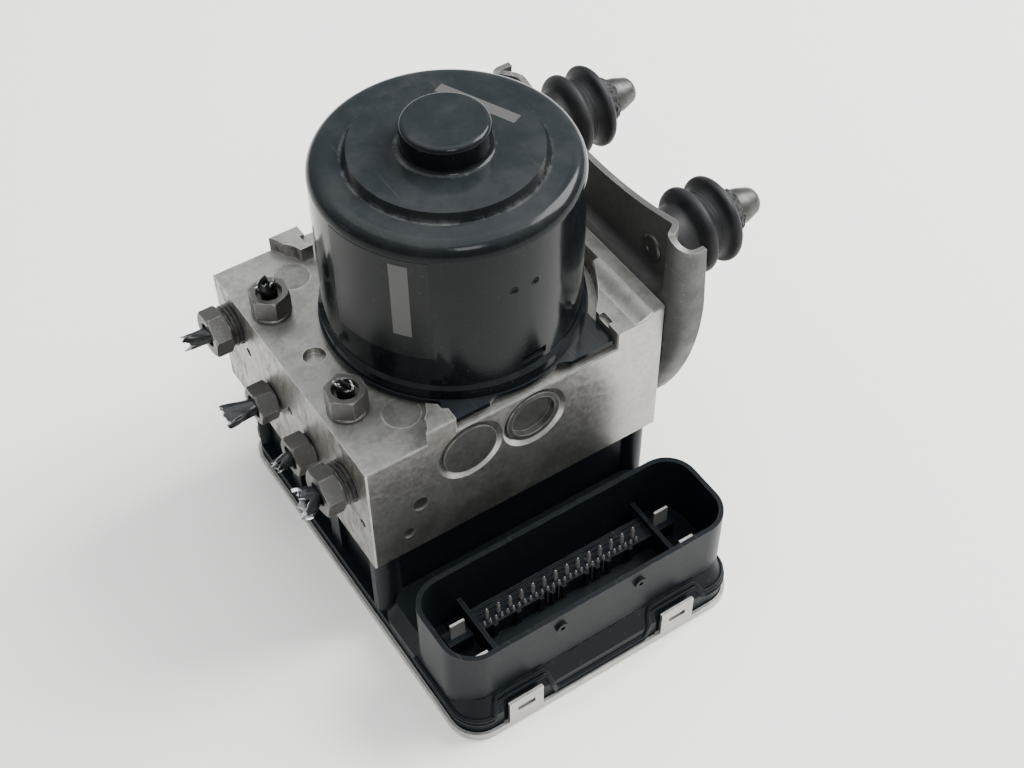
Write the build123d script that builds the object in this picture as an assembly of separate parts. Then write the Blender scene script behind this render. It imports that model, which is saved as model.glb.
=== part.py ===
"""Hydraulic brake control unit: valve block, pump motor, control unit and bracket.

Millimetres.  The origin lies on the motor axis, in the plane of the cover
plate's underside.  +X runs to the bracket side, +Y away from the connector,
+Z up along the motor axis.
"""
from build123d import *
from math import atan2, degrees, radians, sin, sqrt
import os

os.makedirs("parts", exist_ok=True)

# ---------------------------------------------------------------- driving sizes
# valve block
block_width = 100.0
block_depth = 92.0
bench_height = 43.6
post_rise = 5.0
land_rise = 6.6
rail_rise = 8.4
rail_width = 4.5
rail_slope = 1.8
motor_from_left = 53.5
motor_from_front = 41.0
land_from_left = 83.4
post_from_left = 19.2
post_width = 10.0
post_depth = 10.2
post_cusp_inset = 2.7
post_cut_bow = 0.5
edge_break = 0.4
pocket_gap = 4.4
stake_depth = 1.6
stake_width = 4.6
stake_share = 0.69
fit_gap = 0.05
run_gap = 0.03
seat_gap = 0.3

# control unit below the block
unit_height = 35.0
plate_thickness = 1.2
plate_lip = 3.0
plate_lip_wall = 1.0
plate_front = 47.8
plate_right_inset = 1.0
plate_rear_inset = 2.0
plate_corner = 10.0
housing_wall = 2.2
base_inset = 1.3
base_rear_top = 7.0
deck_height = 15.0
skirt_run = 3.2
skirt_drop = 6.0
frame_inset = 5.0
frame_front_inset = 3.6
frame_rear_inset = 6.0
frame_wall = 2.0
frame_rib = 2.0
frame_rib_width = 6.0
frame_rib_share = 0.36
pillar_radius = 4.6
pillar_inset = 5.7
pillar_rear_shift = 2.6
shroud_left_inset = 1.6
shroud_right_inset = 1.5
shroud_near = 43.1
shroud_far = 12.1
shroud_top = 36.0
shroud_wall = 1.5
shroud_corner = 10.0
shroud_floor = 12.0
floor_thickness = 2.5
divider_left_inset = 17.4
divider_right_inset = 16.1
divider_top = 21.0
divider_wall = 1.4
seal_height = 0.8
board_thickness = 1.6
board_level = 6.6
board_gap = 0.3
throat_margin = 3.0
tab_width = 11.7
tab_height = 12.6
tab_window_width = 6.0
tab_window_height = 2.2
tab_window_drop = 3.4
tab_recess_gap = 1.2
tab_thickness = 1.0
left_tab_from_left = 20.5
right_tab_from_left = 75.0
catch_from_left = (35.3, 62.8)
catch_height = 30.4
catch_radius = 1.9
catch_rise = 0.9
catch_hole_radius = 0.8

# connector contacts
pin_pitch = 4.07
tall_pins = 14
short_pins = 28
pin_width = 0.9
short_pin_width = 0.7
first_pin_from_left = 23.3
tall_pin_top = 23.0
short_pin_top = 20.4
tall_row_from_front = 22.3
row_pitch = 1.95
platform_top = 18.5
platform_near_margin = 1.0
platform_far_margin = 4.5
guide_width = 2.8
guide_rise = 0.6
guide_groove = 0.4
comb_teeth = (0, 2, 4, 5, 6, 8, 9, 10, 12)
comb_tooth_width = 1.3
comb_tooth_reach = 0.8
comb_recess_width = 2.0
comb_recess_depth = 0.7
blade_width = 4.8
blade_thickness = 0.8
blade_top = 24.5
blade_rows_from_front = (22.4, 35.1)
blade_left_inset = 11.4
blade_right_inset = 12.0
blade_pad_margin = 1.6
blade_pad_half_depth = 2.4
blade_pad_rise = 6.0

# motor
can_radius = 38.0
can_wall = 1.5
can_roll = 4.5
can_crown = 103.0
crown_disc_inset = 11.2
crown_disc_slope = 1.4
crown_disc_rise = 2.5
boss_radius = 12.4
boss_rise = 8.3
boss_roll = 1.6
collar_step = 1.0
collar_height = 5.4
collar_slope = 1.8
flange_thickness = 1.6
flange_step = 1.6
end_plate_thickness = 1.4
ear_left = 24.2
ear_left_width = 11.5
ear_right_start = 14.8
ear_right = 29.5
plate_growth = 0.5
vent_half_width = 4.2
vent_height = 2.6
vent_above_flange = 7.0
vent_depth = 3.0
vent_angles = (5, 90, 185)
dimple_radius = 1.5
dimple_sink = 0.8
dimple_half_angle = 5.0
dimple_height = 83.9
magnet_thickness = 5.0
magnet_length = 33.0
magnet_gap = 6.0
magnet_base = 60.0
air_gap = 0.7
core_length = 26.0
core_base = 66.0
core_slots = 12
slot_width = 3.4
slot_depth = 12.0
winding_overhang = 5.0
winding_inset = 1.5
winding_clearance = 0.3
winding_slot_gap = 2.4
winding_lap = 0.5
shaft_radius = 5.0
shaft_top_radius = 4.0
shaft_tail_radius = 3.0
commutator_radius = 11.0
commutator_length = 8.0
commutator_base = 52.0
segment_slit = 0.5
segment_slit_depth = 1.2
brush_width = 5.0
brush_height = 6.0
brush_length = 9.0
brush_box_length = 17.0
brush_box_wall = 1.2
brush_box_start = 2.0
brush_ring_thickness = 2.0
brush_ring_gap = 1.5
brush_floor = 0.6
brush_spring_radius = 1.9
brush_spring_wire = 0.3
brush_spring_turns = 5
bearing_width = 7.0
bearing_recess = 1.3
hub_depth = 3.0
hub_height = 6.4
hub_seat = 1.6
shaft_clearance = 2.0
seal_groove_top = 1.0
seal_groove_width = 1.4
seal_section = 1.2
drive_bearing_radius = 13.0
tail_bearing_radius = 6.0
tail_bearing_width = 4.6
tail_recess = 5.0
shaft_shoulder = 0.8
shaft_end_gap = 0.5
shield_depth = 0.4
shield_from = 0.3
shield_to = 0.72

# pump
pump_height = 32.3
pump_offset = 1.3
eccentricity = 1.2
journal_radius = 6.4
eccentric_ring_radius = 9.0
eccentric_width = 12.0
ring_side_gap = 0.5
chamber_radius = 15.5
chamber_depth = 20.0
piston_radius = 3.0
piston_length = 16.0
piston_start_gap = 0.3
piston_chamfer = 0.3
pump_spring_radius = 2.6
pump_spring_wire = 0.45
pump_spring_turns = 6
barrel_radius = 6.5
barrel_bore_length = 10.0
spring_bore_radius = 4.2
cap_radius = 9.0
cap_length = 7.0
cap_ring_radius = 10.8
cap_ring_depth = 1.3
cap_sink = 0.4
cap_dish_radius = 7.3
cap_dish_depth = 2.2
damper_from_left = 33.3
damper_radius = 8.8
damper_ring_radius = 10.8
damper_ring_depth = 1.2
damper_depth = 18.0
damper_cap_length = 5.0
damper_cap_sink = 0.15
damper_shoulder = 1.5

# low-pressure accumulators
accumulator_radius = 9.5
accumulator_depth = 18.0
accumulator_piston_length = 5.0
accumulator_crown = 1.6
accumulator_skirt = 1.8
accumulator_top_gap = 0.2
accumulator_spring_radius = 6.2
accumulator_spring_wire = 0.7
accumulator_spring_turns = 4
accumulator_from_left = (30.0, 72.0)
accumulator_from_back = 14.0
accumulator_cap_radius = 10.5
accumulator_cap_length = 2.0

# solenoid valves
valve_inner_half_spacing = 16.4
valve_column_pitch = 18.2
valve_first_row = 14.0
valve_row_pitch = 22.0
valve_row_count = 3
valve_radius = 4.8
valve_depth = 19.0
valve_collar_radius = 6.4
valve_collar_depth = 3.0
dome_radius = 3.2
valve_nose = 1.2
valve_nose_length = 1.7
valve_top_gap = 0.3
dome_length = 18.0
dome_tip = 1.2
coil_radius = 7.4
coil_length = 17.0
coil_drop = 2.0
coil_bore_gap = 0.2
coil_rim = 2.0
coil_waist = 0.6
terminal_width = 0.7
terminal_spacing = 5.0
sensor_from_left = 52.0
sensor_from_front = 13.0
sensor_radius = 5.0
sensor_depth = 13.0
sensor_plug_radius = 5.8
sensor_plug_length = 14.0
sensor_pin_radius = 0.6
sensor_pin_offset = 2.5
sensor_end_gap = 0.5

# pipe ports: small thread M10 x 1, large thread M14 x 1.5
small_thread = 5.0
large_thread = 6.8
small_hex = 11.0
large_hex = 13.0
port_depth = 12.0
thread_grip = 9.0
pipe_radius = 2.6
pipe_wall = 0.9
nut_mouth_radius = 3.9
nut_mouth_depth = 2.2
rear_port_from_back = 11.8
rear_port_height = 32.9
front_port_from_front = 13.1
front_port_height = 28.1
side_port_small = ((58.3, 19.9), (35.4, 19.3))
top_port_from_left = 7.9
top_port_rows = (23.6, 68.7)
large_hex_start = 3.6
large_hex_length = 5.6
small_hex_start = 0.9
small_hex_length = 6.0
top_hex_start = 0.4
top_hex_length = 8.1
large_hex_turn = 17.0
small_hex_turn = 10.0
top_hex_turn = 20.0
large_stub = 8.0
rear_stub = 9.2
short_stub = 5.5
top_front_stub = 3.6
top_rear_stub = 10.0

# plugs and drillings
bench_plug_radius = 5.55
bench_plug_depth = 2.6
bench_plug_sink = 0.1
bench_plug_from_left = 19.6
bench_plug_from_end = 14.0
blind_hole_radius = 3.4
blind_hole_depth = 2.4
blind_hole = (9.7, 46.1)
front_plugs = ((16.1, 19.6, 2.6), (11.8, 8.8, 2.0))
side_drillings = ((72.7, 26.7), (47.1, 24.4), (5.3, 16.6))
drilling_radius = 1.5
drilling_depth = 4.0
drilling_plug_sink = 0.8
screw_hole_gap = 1.0

# bracket, mounts and screws
sheet = 2.0
bracket_gap = 0.3
bracket_shift = 0.8
bracket_overhang = 5.6
bracket_waist_height = 33.0
bracket_widest_height = 54.0
bracket_foot_inset = 13.0
bracket_waist_inset = 2.4
bracket_shoulder_inset = 1.5
bracket_shoulder_drop = 4.0
bracket_bottom = 6.0
bracket_top_middle = 71.5
bracket_top_end = 78.0
wing_reach = 8.5
wing_roll = 6.0
emboss_step = 4.7
emboss_end_margin = 9.4
emboss_bottom = 49.5
emboss_corner = 9.0
emboss_draft = 32.0
emboss_rise = 10.0
mount_end_margin = 11.2
mount_height = 61.3
rivet_radius = 4.2
rivet_head = 1.1
rivet_lip = 0.5
rivet_flare = 0.3
stud_radius = 4.0
rubber_body = 10.0
rubber_flange = 13.3
rubber_flange_width = 3.8
rubber_lip = 0.9
rubber_fillet = 0.8
rubber_root = 0.4
rubber_foot = 2.0
rubber_neck = 1.6
rubber_neck_lip = 0.6
rubber_length = 24.0
first_flange = 11.0
second_flange = 20.4
tip_radius = 5.6
tip_end_radius = 3.8
tip_barrel = 6.4
tip_cone = 5.4
tip_shoulder = 0.5
tip_lip = 0.8
tip_end_step = 0.6
bracket_screw_radius = 3.9
bracket_screw_head_height = 5.0
bracket_washer_radius = 8.0
bracket_washer_thickness = 1.2
bracket_screw_flats = 11.7
bracket_hole_gap = 0.4
bracket_screw_grip = 12.0
bracket_screw_height = 30.0
bracket_screw_half_spacing = 23.0
unit_screw_radius = 2.4
unit_screw_grip = 11.0
unit_screw_head = 3.9
unit_screw_seat = 11.3
unit_screw_head_height = 3.0
unit_screw_socket = 2.0
unit_screw_socket_depth = 1.8
unit_screw_hole_gap = 0.3
unit_screw_head_gap = 0.15
board_pillar_gap = 1.2

# ---------------------------------------------------------------- derived places
x_left = -motor_from_left
x_right = x_left + block_width
y_front = -motor_from_front
y_back = y_front + block_depth
z_block = unit_height
z_bench = z_block + bench_height
z_post = z_bench + post_rise
z_land = z_bench + land_rise
z_rail = z_bench + rail_rise
x_land = x_left + land_from_left
x_plate_right = x_right - plate_right_inset
y_plate_front = y_front - plate_front
y_plate_back = y_back - plate_rear_inset
z_flange = z_bench + end_plate_thickness
z_can = z_flange + flange_thickness
z_crown = z_block + can_crown
z_disc = z_crown + crown_disc_rise
z_boss = z_disc + boss_rise
z_pump = z_block + pump_height
board_z = board_level
x_shroud_left = x_left + shroud_left_inset
x_shroud_right = x_right - shroud_right_inset
y_shroud_near = y_front - shroud_near
y_shroud_far = y_front - shroud_far
x_frame_left = x_left + frame_inset
x_frame_right = x_right - frame_inset
y_frame_front = y_front + frame_front_inset
y_frame_back = y_plate_back - frame_rear_inset
collar_radius = can_radius + collar_step
flange_radius = can_radius + flange_step
pocket_radius = can_radius + pocket_gap
ear_front = flange_radius
crown_disc_radius = can_radius - crown_disc_inset
crown_disc_foot = crown_disc_radius + crown_disc_slope
valve_outer_half_spacing = valve_inner_half_spacing + valve_column_pitch
x_valve_middle = x_left + block_width / 2
y_accumulators = y_back - accumulator_from_back
bracket_half_length = block_depth / 2 + bracket_overhang
emboss_half_length = bracket_half_length - emboss_end_margin
mount_half_spacing = emboss_half_length - mount_end_margin
first_pin_x = x_left + first_pin_from_left
y_tall_row = y_front - tall_row_from_front
y_short_row = y_tall_row - row_pitch
side_port_large = ((block_depth - rear_port_from_back, rear_port_height),
                   (front_port_from_front, front_port_height))
bench_plugs = ((bench_plug_from_left, block_depth - bench_plug_from_end),
               (bench_plug_from_left, bench_plug_from_end))


def from_left(value):
    """X of a distance measured from the block's left face."""
    return x_left + value


def from_front(value):
    """Y of a distance measured from the block's front face."""
    return y_front + value


def above_block(value):
    """Z of a height measured from the block's underside."""
    return z_block + value


# ---------------------------------------------------------------- helpers
def slab(x0, x1, y0, y1, z0, z1):
    """Box between two corners."""
    size = Box(x1 - x0, y1 - y0, z1 - z0)
    return Pos((x0 + x1) / 2, (y0 + y1) / 2, (z0 + z1) / 2) * size


def rounded_slab(x0, x1, y0, y1, z0, z1, radius):
    """Box with rounded vertical edges."""
    outline = RectangleRounded(x1 - x0, y1 - y0, radius)
    return Pos((x0 + x1) / 2, (y0 + y1) / 2, z0) * extrude(outline, z1 - z0)


def disc_z(x, y, z0, z1, radius):
    """Cylinder along Z between two levels."""
    body = Cylinder(radius, abs(z1 - z0), align=(Align.CENTER, Align.CENTER, Align.MIN))
    return Pos(x, y, min(z0, z1)) * body


def disc_y(x, z, y0, y1, radius):
    """Cylinder along Y between two places."""
    body = Cylinder(radius, abs(y1 - y0), align=(Align.CENTER, Align.CENTER, Align.MIN))
    return Pos(x, min(y0, y1), z) * Rot(-90, 0, 0) * body


def disc_x(y, z, x0, x1, radius):
    """Cylinder along X between two places."""
    body = Cylinder(radius, abs(x1 - x0), align=(Align.CENTER, Align.CENTER, Align.MIN))
    return Pos(min(x0, x1), y, z) * Rot(0, 90, 0) * body


def cone_y(x, face, inward, depth, mouth, bottom):
    """Countersink in a front or back face, at the pump's height."""
    body = turned([(0, -1.0), (mouth, -1.0), (mouth, 0), (bottom, depth), (0, depth)])
    turn = Rot(-90, 0, 0) if inward > 0 else Rot(90, 0, 0)
    return Pos(x, face, z_pump) * turn * body


def turned(points):
    """Solid of revolution about Z from (radius, height) points."""
    outline = Polyline(*[(r, 0, h) for r, h in points], close=True)
    return revolve(make_face(outline), Axis.Z)


def hexagon(across_flats, length):
    """Hexagonal bar along +Z with its end corners turned off."""
    corner = across_flats / sqrt(3)
    bar = extrude(RegularPolygon(corner, 6), length)
    relief = (corner - across_flats / 2) * 0.6
    keep = turned([(0, 0), (corner - relief, 0), (corner, relief),
                   (corner, length - relief), (corner - relief, length), (0, length)])
    return bar & keep


def coil_spring(radius, wire, length, turns):
    """Open coil spring along +Z, standing on Z = 0."""
    rise = length - 2 * wire
    path = Helix(rise / turns, rise, radius, center=(0, 0, wire))
    start = Plane(origin=path @ 0, z_dir=path % 0)
    return sweep(start * Circle(wire), path=path)


def solids_of(shape):
    """All solids of a shape or list of shapes."""
    if isinstance(shape, (list, tuple)):
        found = []
        for item in shape:
            found.extend(solids_of(item))
        return found
    return list(shape.solids())


def save(name, shape):
    """Write one node as a STEP file."""
    solids = solids_of(shape)
    result = solids[0] if len(solids) == 1 else Compound(solids)
    export_step(result, f"parts/{name}.step")


# ---------------------------------------------------------------- shared outlines
def flange_outline(growth):
    """Motor flange in plan: a ring with four ears that stop short of the posts."""
    ring = Circle(flange_radius + growth)
    outline = ring
    for side in (-1, 1):
        front = ear_front + growth
        left_x = -ear_left - growth
        left_end = -ear_left + ear_left_width + growth
        left_ear = Pos((left_x + left_end) / 2, side * front / 2) * Rectangle(left_end - left_x, front)
        right_x = ear_right_start - growth
        right_end = ear_right + growth
        right_ear = Pos((right_x + right_end) / 2, side * front / 2) * Rectangle(right_end - right_x, front)
        outline = outline + left_ear + right_ear
    return outline


def post_outline(front):
    """Plan of one rib post; its inner side is cut by two passes of a milling cutter."""
    y0 = y_front if front else y_back
    step = 1 if front else -1
    x0 = from_left(post_from_left)
    x1 = x0 + post_width
    y_end = y0 + step * post_depth
    corner = (x0, y0)
    cusp = (x0 + post_cusp_inset, y0 + step * post_depth / 2)
    shoulder = (x0 + 2.2 * post_cusp_inset, y_end)
    bow = post_cut_bow
    low = (corner[0] + post_cusp_inset / 2 + bow, y0 + step * (post_depth / 4 - bow / 2))
    high = (cusp[0] + 0.6 * post_cusp_inset + bow, y0 + step * (post_depth * 0.75 - bow / 2))
    line = [Line(corner, (x1, y0)), Line((x1, y0), (x1, y_end)), Line((x1, y_end), shoulder),
            ThreePointArc(shoulder, high, cusp), ThreePointArc(cusp, low, corner)]
    return make_face(Wire(line))


# ---------------------------------------------------------------- valve block
def block_stock():
    """Extruded profile of the block: low bench on the left, raised land on the right."""
    points = [(x_left, z_block), (x_right, z_block), (x_right, z_rail),
              (x_right - rail_width, z_rail), (x_right - rail_width - rail_slope, z_land),
              (x_land, z_land), (x_land, z_bench), (x_left, z_bench)]
    profile = make_face(Polyline(*[(x, y_back, z) for x, z in points], close=True))
    stock = extrude(profile, block_depth, dir=(0, -1, 0))
    for front in (True, False):
        stock = stock + Pos(0, 0, z_bench) * extrude(post_outline(front), post_rise)
    stock = stock - disc_z(0, 0, z_bench, z_rail, pocket_radius)
    ends = [stock.faces().sort_by(Axis.Y)[0], stock.faces().sort_by(Axis.Y)[-1]]
    outer = [edge for face in ends for edge in face.outer_wire().edges()]
    return chamfer(outer, edge_break)


def block_drillings():
    """Every bore that opens into the block."""
    cuts = [disc_z(0, 0, z_bench - chamber_depth, z_bench, chamber_radius),
            disc_z(0, 0, z_bench - chamber_depth - tail_recess, z_bench - chamber_depth, tail_bearing_radius)]
    for direction, face in ((-1, y_front), (1, y_back)):
        cuts.append(disc_y(pump_offset, z_pump, 0, face, barrel_radius))
        cuts.append(disc_y(pump_offset, z_pump, face - direction * cap_length, face, cap_radius + fit_gap))
        cuts.append(cone_y(pump_offset, face, -direction, cap_ring_depth, cap_ring_radius, cap_radius + fit_gap))
        x = from_left(damper_from_left)
        cuts.append(disc_y(x, z_pump, face - direction * damper_depth, face, damper_radius - damper_shoulder))
        cuts.append(disc_y(x, z_pump, face - direction * (damper_cap_length + damper_ring_depth),
                           face, damper_radius + fit_gap))
        cuts.append(cone_y(x, face, -direction, damper_ring_depth, damper_ring_radius, damper_radius + fit_gap))
    for x, y in valve_places():
        cuts.append(disc_z(x, y, z_block, z_block + valve_depth, valve_radius))
        cuts.append(disc_z(x, y, z_block, z_block + valve_collar_depth, valve_collar_radius + fit_gap))
    for place in accumulator_from_left:
        x, y = from_left(place), y_accumulators
        cuts.append(disc_z(x, y, z_block, z_block + accumulator_depth, accumulator_radius))
        cuts.append(disc_z(x, y, z_block, z_block + accumulator_cap_length, accumulator_cap_radius))
    cuts.append(disc_z(from_left(sensor_from_left), from_front(sensor_from_front), z_block,
                       z_block + sensor_depth, sensor_radius))
    for ports, radius in ((side_port_large, large_thread), (side_port_small, small_thread)):
        for along, height in ports:
            cuts.append(disc_x(from_front(along), above_block(height), x_left, x_left + port_depth, radius))
    for row in top_port_rows:
        cuts.append(disc_z(from_left(top_port_from_left), from_front(row), z_bench - port_depth, z_bench,
                           small_thread))
    for along, depth in bench_plugs:
        cuts.append(disc_z(from_left(along), from_front(depth), z_bench - bench_plug_depth, z_bench,
                           bench_plug_radius))
    cuts.append(disc_z(from_left(blind_hole[0]), from_front(blind_hole[1]), z_bench - blind_hole_depth,
                       z_bench, blind_hole_radius))
    for along, height, radius in front_plugs:
        cuts.append(disc_y(from_left(along), above_block(height), y_front, y_front + drilling_depth, radius))
    for along, height in side_drillings:
        cuts.append(disc_x(from_front(along), above_block(height), x_left, x_left + drilling_depth,
                           drilling_radius))
    for x, y in pillar_places():
        cuts.append(disc_z(x, y, z_block, z_block + unit_screw_grip + screw_hole_gap, unit_screw_radius))
    for y in bracket_screw_places():
        cuts.append(disc_x(y, above_block(bracket_screw_height), x_right - bracket_screw_grip - screw_hole_gap, x_right,
                           bracket_screw_radius))
    return cuts


def stake_notches():
    """Caulking notches struck into the posts and the land beside the motor flange."""
    half = stake_width / 2
    cuts = []
    x_post = from_left(post_from_left) + post_width
    inset = post_depth * stake_share
    for y in (y_front + inset, y_back - inset):
        cuts.append(slab(x_post - stake_depth, x_post, y - half, y + half, z_post - stake_depth, z_post))
        cuts.append(slab(x_land, x_land + stake_depth, y - half, y + half, z_land - stake_depth, z_land))
    return cuts


def pillar_places():
    """Centres of the corner pillars, where the control unit is screwed to the block."""
    xs = (x_left + pillar_inset, x_right - pillar_inset)
    ys = (y_front + pillar_inset, y_back - pillar_inset - pillar_rear_shift)
    return [(x, y) for x in xs for y in ys]


def bracket_screw_places():
    """Y places of the two bracket screws."""
    return (bracket_y - bracket_screw_half_spacing, bracket_y + bracket_screw_half_spacing)


def valve_block():
    """The machined aluminium block with all its bores."""
    block = block_stock()
    for cut in block_drillings() + stake_notches():
        block = block - cut
    return block


# ---------------------------------------------------------------- motor
def can_profile(inset):
    """Half section of the drawn can, offset inwards by inset: (radius, height) points and arcs."""
    r = can_radius - inset
    top = z_crown - inset
    roll = can_roll - inset * 0.6
    disc_top = z_disc - inset
    boss_r = boss_radius - inset
    boss_top = z_boss - inset
    bend = boss_roll - inset * 0.4
    lip = z_can - inset if inset == 0 else z_flange - 1.0
    def at(radius, height):
        return (radius, 0, height)
    s = sin(radians(45))
    edges = [Line(at(0, lip), at(r, lip)), Line(at(r, lip), at(r, top - roll)),
             ThreePointArc(at(r, top - roll), at(r - roll + roll * s, top - roll + roll * s), at(r - roll, top)),
             Line(at(r - roll, top), at(crown_disc_foot - inset, top)),
             Line(at(crown_disc_foot - inset, top), at(crown_disc_radius - inset, disc_top)),
             Line(at(crown_disc_radius - inset, disc_top), at(boss_r + bend, disc_top)),
             ThreePointArc(at(boss_r + bend, disc_top), at(boss_r + bend - bend * s, disc_top + bend - bend * s),
                           at(boss_r, disc_top + bend)),
             Line(at(boss_r, disc_top + bend), at(boss_r, boss_top - bend)),
             ThreePointArc(at(boss_r, boss_top - bend), at(boss_r - bend + bend * s, boss_top - bend + bend * s),
                           at(boss_r - bend, boss_top)),
             Line(at(boss_r - bend, boss_top), at(0, boss_top)), Line(at(0, boss_top), at(0, lip))]
    return make_face(Wire(edges))


def motor_can():
    """Deep-drawn steel can with its crown, bearing boss, foot collar and eared flange."""
    body = revolve(can_profile(0), Axis.Z)
    foot = turned([(0, z_flange), (collar_radius, z_flange), (collar_radius, z_can + collar_height - collar_slope),
                   (can_radius - can_wall / 2, z_can + collar_height), (0, z_can + collar_height)])
    flange = Pos(0, 0, z_flange) * extrude(flange_outline(0), flange_thickness)
    hollow = revolve(can_profile(can_wall), Axis.Z)
    can = body + foot + flange - hollow
    vent_z = z_can + vent_above_flange
    vent = slab(-vent_half_width, vent_half_width, -can_radius - vent_depth, -can_radius + vent_depth,
                vent_z, vent_z + vent_height)
    for angle in vent_angles:
        can = can - Rot(0, 0, angle) * vent
    reach = can_radius + dimple_radius - dimple_sink
    for angle in (-dimple_half_angle, dimple_half_angle):
        can = can - Rot(0, 0, angle) * Pos(0, -reach, above_block(dimple_height)) * Sphere(dimple_radius)
    return can


def motor_end_plate():
    """Steel end plate under the can: same eared outline, bearing hub and locating spigot."""
    plate = Pos(0, 0, z_bench) * extrude(flange_outline(-plate_growth), end_plate_thickness)
    hub = disc_z(0, 0, z_hub, z_brush_ring, chamber_radius - fit_gap)
    seat = disc_z(0, 0, z_drive_bearing, z_brush_ring, drive_bearing_radius + fit_gap)
    clearance = disc_z(0, 0, z_hub, z_bench, shaft_radius + shaft_clearance)
    groove = disc_z(0, 0, z_groove, z_groove + seal_groove_width, chamber_radius) \
        - disc_z(0, 0, z_groove, z_groove + seal_groove_width, chamber_radius - seal_section)
    return plate + hub - seat - clearance - groove


def motor_seal():
    """Sealing ring in the end plate's spigot groove."""
    low = z_groove + fit_gap
    high = z_groove + seal_groove_width - fit_gap
    ring = disc_z(0, 0, low, high, chamber_radius - fit_gap)
    return ring - disc_z(0, 0, low, high, chamber_radius - seal_section + fit_gap)


def motor_magnets():
    """Four arc magnets bonded inside the can."""
    outer = can_radius - can_wall - fit_gap
    low = above_block(magnet_base)
    high = low + magnet_length
    ring = disc_z(0, 0, low, high, outer) - disc_z(0, 0, low, high, outer - magnet_thickness)
    gap = slab(-can_radius, can_radius, -magnet_gap / 2, magnet_gap / 2, low, high)
    return ring - Rot(0, 0, 45) * gap - Rot(0, 0, 135) * gap


z_hub = z_bench - hub_depth
z_brush_ring = z_bench + hub_height
z_drive_bearing = z_bench - hub_seat
z_groove = z_bench - seal_groove_top - seal_groove_width
core_radius = can_radius - can_wall - fit_gap - magnet_thickness - air_gap
core_z0 = z_block + core_base
core_z1 = core_z0 + core_length


def slot_bars(width, depth, z0, z1, outer):
    """Radial bars, one for each armature slot."""
    bars = []
    for index in range(core_slots):
        bar = slab(outer - depth, outer, -width / 2, width / 2, z0, z1)
        bars.append(Rot(0, 0, index * 360 / core_slots) * bar)
    return bars


def armature_core():
    """Slotted lamination stack."""
    core = disc_z(0, 0, core_z0, core_z1, core_radius) - disc_z(0, 0, core_z0, core_z1, shaft_radius)
    for bar in slot_bars(slot_width, slot_depth, core_z0, core_z1, core_radius + winding_lap):
        core = core - bar
    return core


def armature_windings():
    """Copper bars in the slots joined by the two end heads."""
    inner = core_radius - slot_depth
    outer = core_radius - winding_inset
    z0 = core_z0 - winding_overhang
    z1 = core_z1 + winding_overhang
    coil = disc_z(0, 0, z0, core_z0 - fit_gap, outer) - disc_z(0, 0, z0, core_z0, inner)
    coil = coil + (disc_z(0, 0, core_z1 + fit_gap, z1, outer) - disc_z(0, 0, core_z1, z1, inner))
    low = core_z0 - winding_lap
    high = core_z1 + winding_lap
    for bar in slot_bars(slot_width - winding_clearance, slot_depth - winding_slot_gap, low, high,
                         outer - winding_clearance):
        coil = coil + bar
    return coil


def commutator():
    """Segmented copper commutator."""
    z0 = above_block(commutator_base)
    z1 = z0 + commutator_length
    body = disc_z(0, 0, z0, z1, commutator_radius) - disc_z(0, 0, z0, z1, shaft_radius)
    for index in range(core_slots):
        slit = slab(commutator_radius - segment_slit_depth, commutator_radius + segment_slit_depth,
                    -segment_slit / 2, segment_slit / 2, z0, z1 - segment_slit_depth)
        body = body - Rot(0, 0, (index + 0.5) * 360 / core_slots) * slit
    return body


tail_seat = z_bench - chamber_depth
journal_z0 = z_pump - eccentric_width / 2
journal_z1 = z_pump + eccentric_width / 2
boss_ceiling = z_boss - can_wall
top_bearing_z1 = boss_ceiling - bearing_recess
top_bearing_z0 = top_bearing_z1 - bearing_width


def rotor_shaft():
    """Turned shaft with the eccentric journal that drives the pump."""
    shoulder = top_bearing_z0 - shaft_shoulder
    shaft = disc_z(0, 0, journal_z1, shoulder, shaft_radius)
    shaft = shaft + disc_z(0, 0, shoulder, top_bearing_z1 - shaft_end_gap, shaft_top_radius)
    shaft = shaft + disc_z(eccentricity, 0, journal_z0, journal_z1, journal_radius)
    shaft = shaft + disc_z(0, 0, tail_seat - tail_bearing_width, journal_z0, shaft_tail_radius)
    return shaft


def eccentric_bearing():
    """Needle-bearing ring on the eccentric journal."""
    ring = disc_z(eccentricity, 0, journal_z0 + ring_side_gap, journal_z1 - ring_side_gap, eccentric_ring_radius)
    return ring - disc_z(eccentricity, 0, journal_z0, journal_z1, journal_radius)


def ball_bearing(z0, z1, bore, outer):
    """Sealed ball bearing as one ring with recessed shields."""
    ring = disc_z(0, 0, z0, z1, outer) - disc_z(0, 0, z0, z1, bore + run_gap)
    shield_in = bore + (outer - bore) * shield_from
    shield_out = bore + (outer - bore) * shield_to
    for low, high in ((z0, z0 + shield_depth), (z1 - shield_depth, z1)):
        ring = ring - (disc_z(0, 0, low, high, shield_out) - disc_z(0, 0, low, high, shield_in))
    return ring


def brush_holder():
    """Plastic carrier ring with a box for each brush."""
    z0 = z_brush_ring
    z1 = z0 + brush_ring_thickness
    ring = disc_z(0, 0, z0, z1, can_radius - can_wall - seat_gap)
    ring = ring - disc_z(0, 0, z0, z1, commutator_radius + brush_ring_gap)
    z = brush_level()
    half_width = brush_width / 2
    half_height = brush_height / 2
    for turn in (0, 180):
        start = commutator_radius + brush_box_start
        end = start + brush_box_length
        box = slab(start, end, -half_width - brush_box_wall, half_width + brush_box_wall, z1,
                   z + half_height + brush_box_wall)
        hollow = slab(start - fit_gap, end - brush_box_wall, -half_width - fit_gap, half_width + fit_gap,
                      z - half_height - fit_gap, z + half_height + fit_gap)
        ring = ring + Rot(0, 0, turn) * (box - hollow)
    return ring


def brush_level():
    """Height of the brush centres."""
    return z_brush_ring + brush_ring_thickness + brush_floor + brush_height / 2


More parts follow.
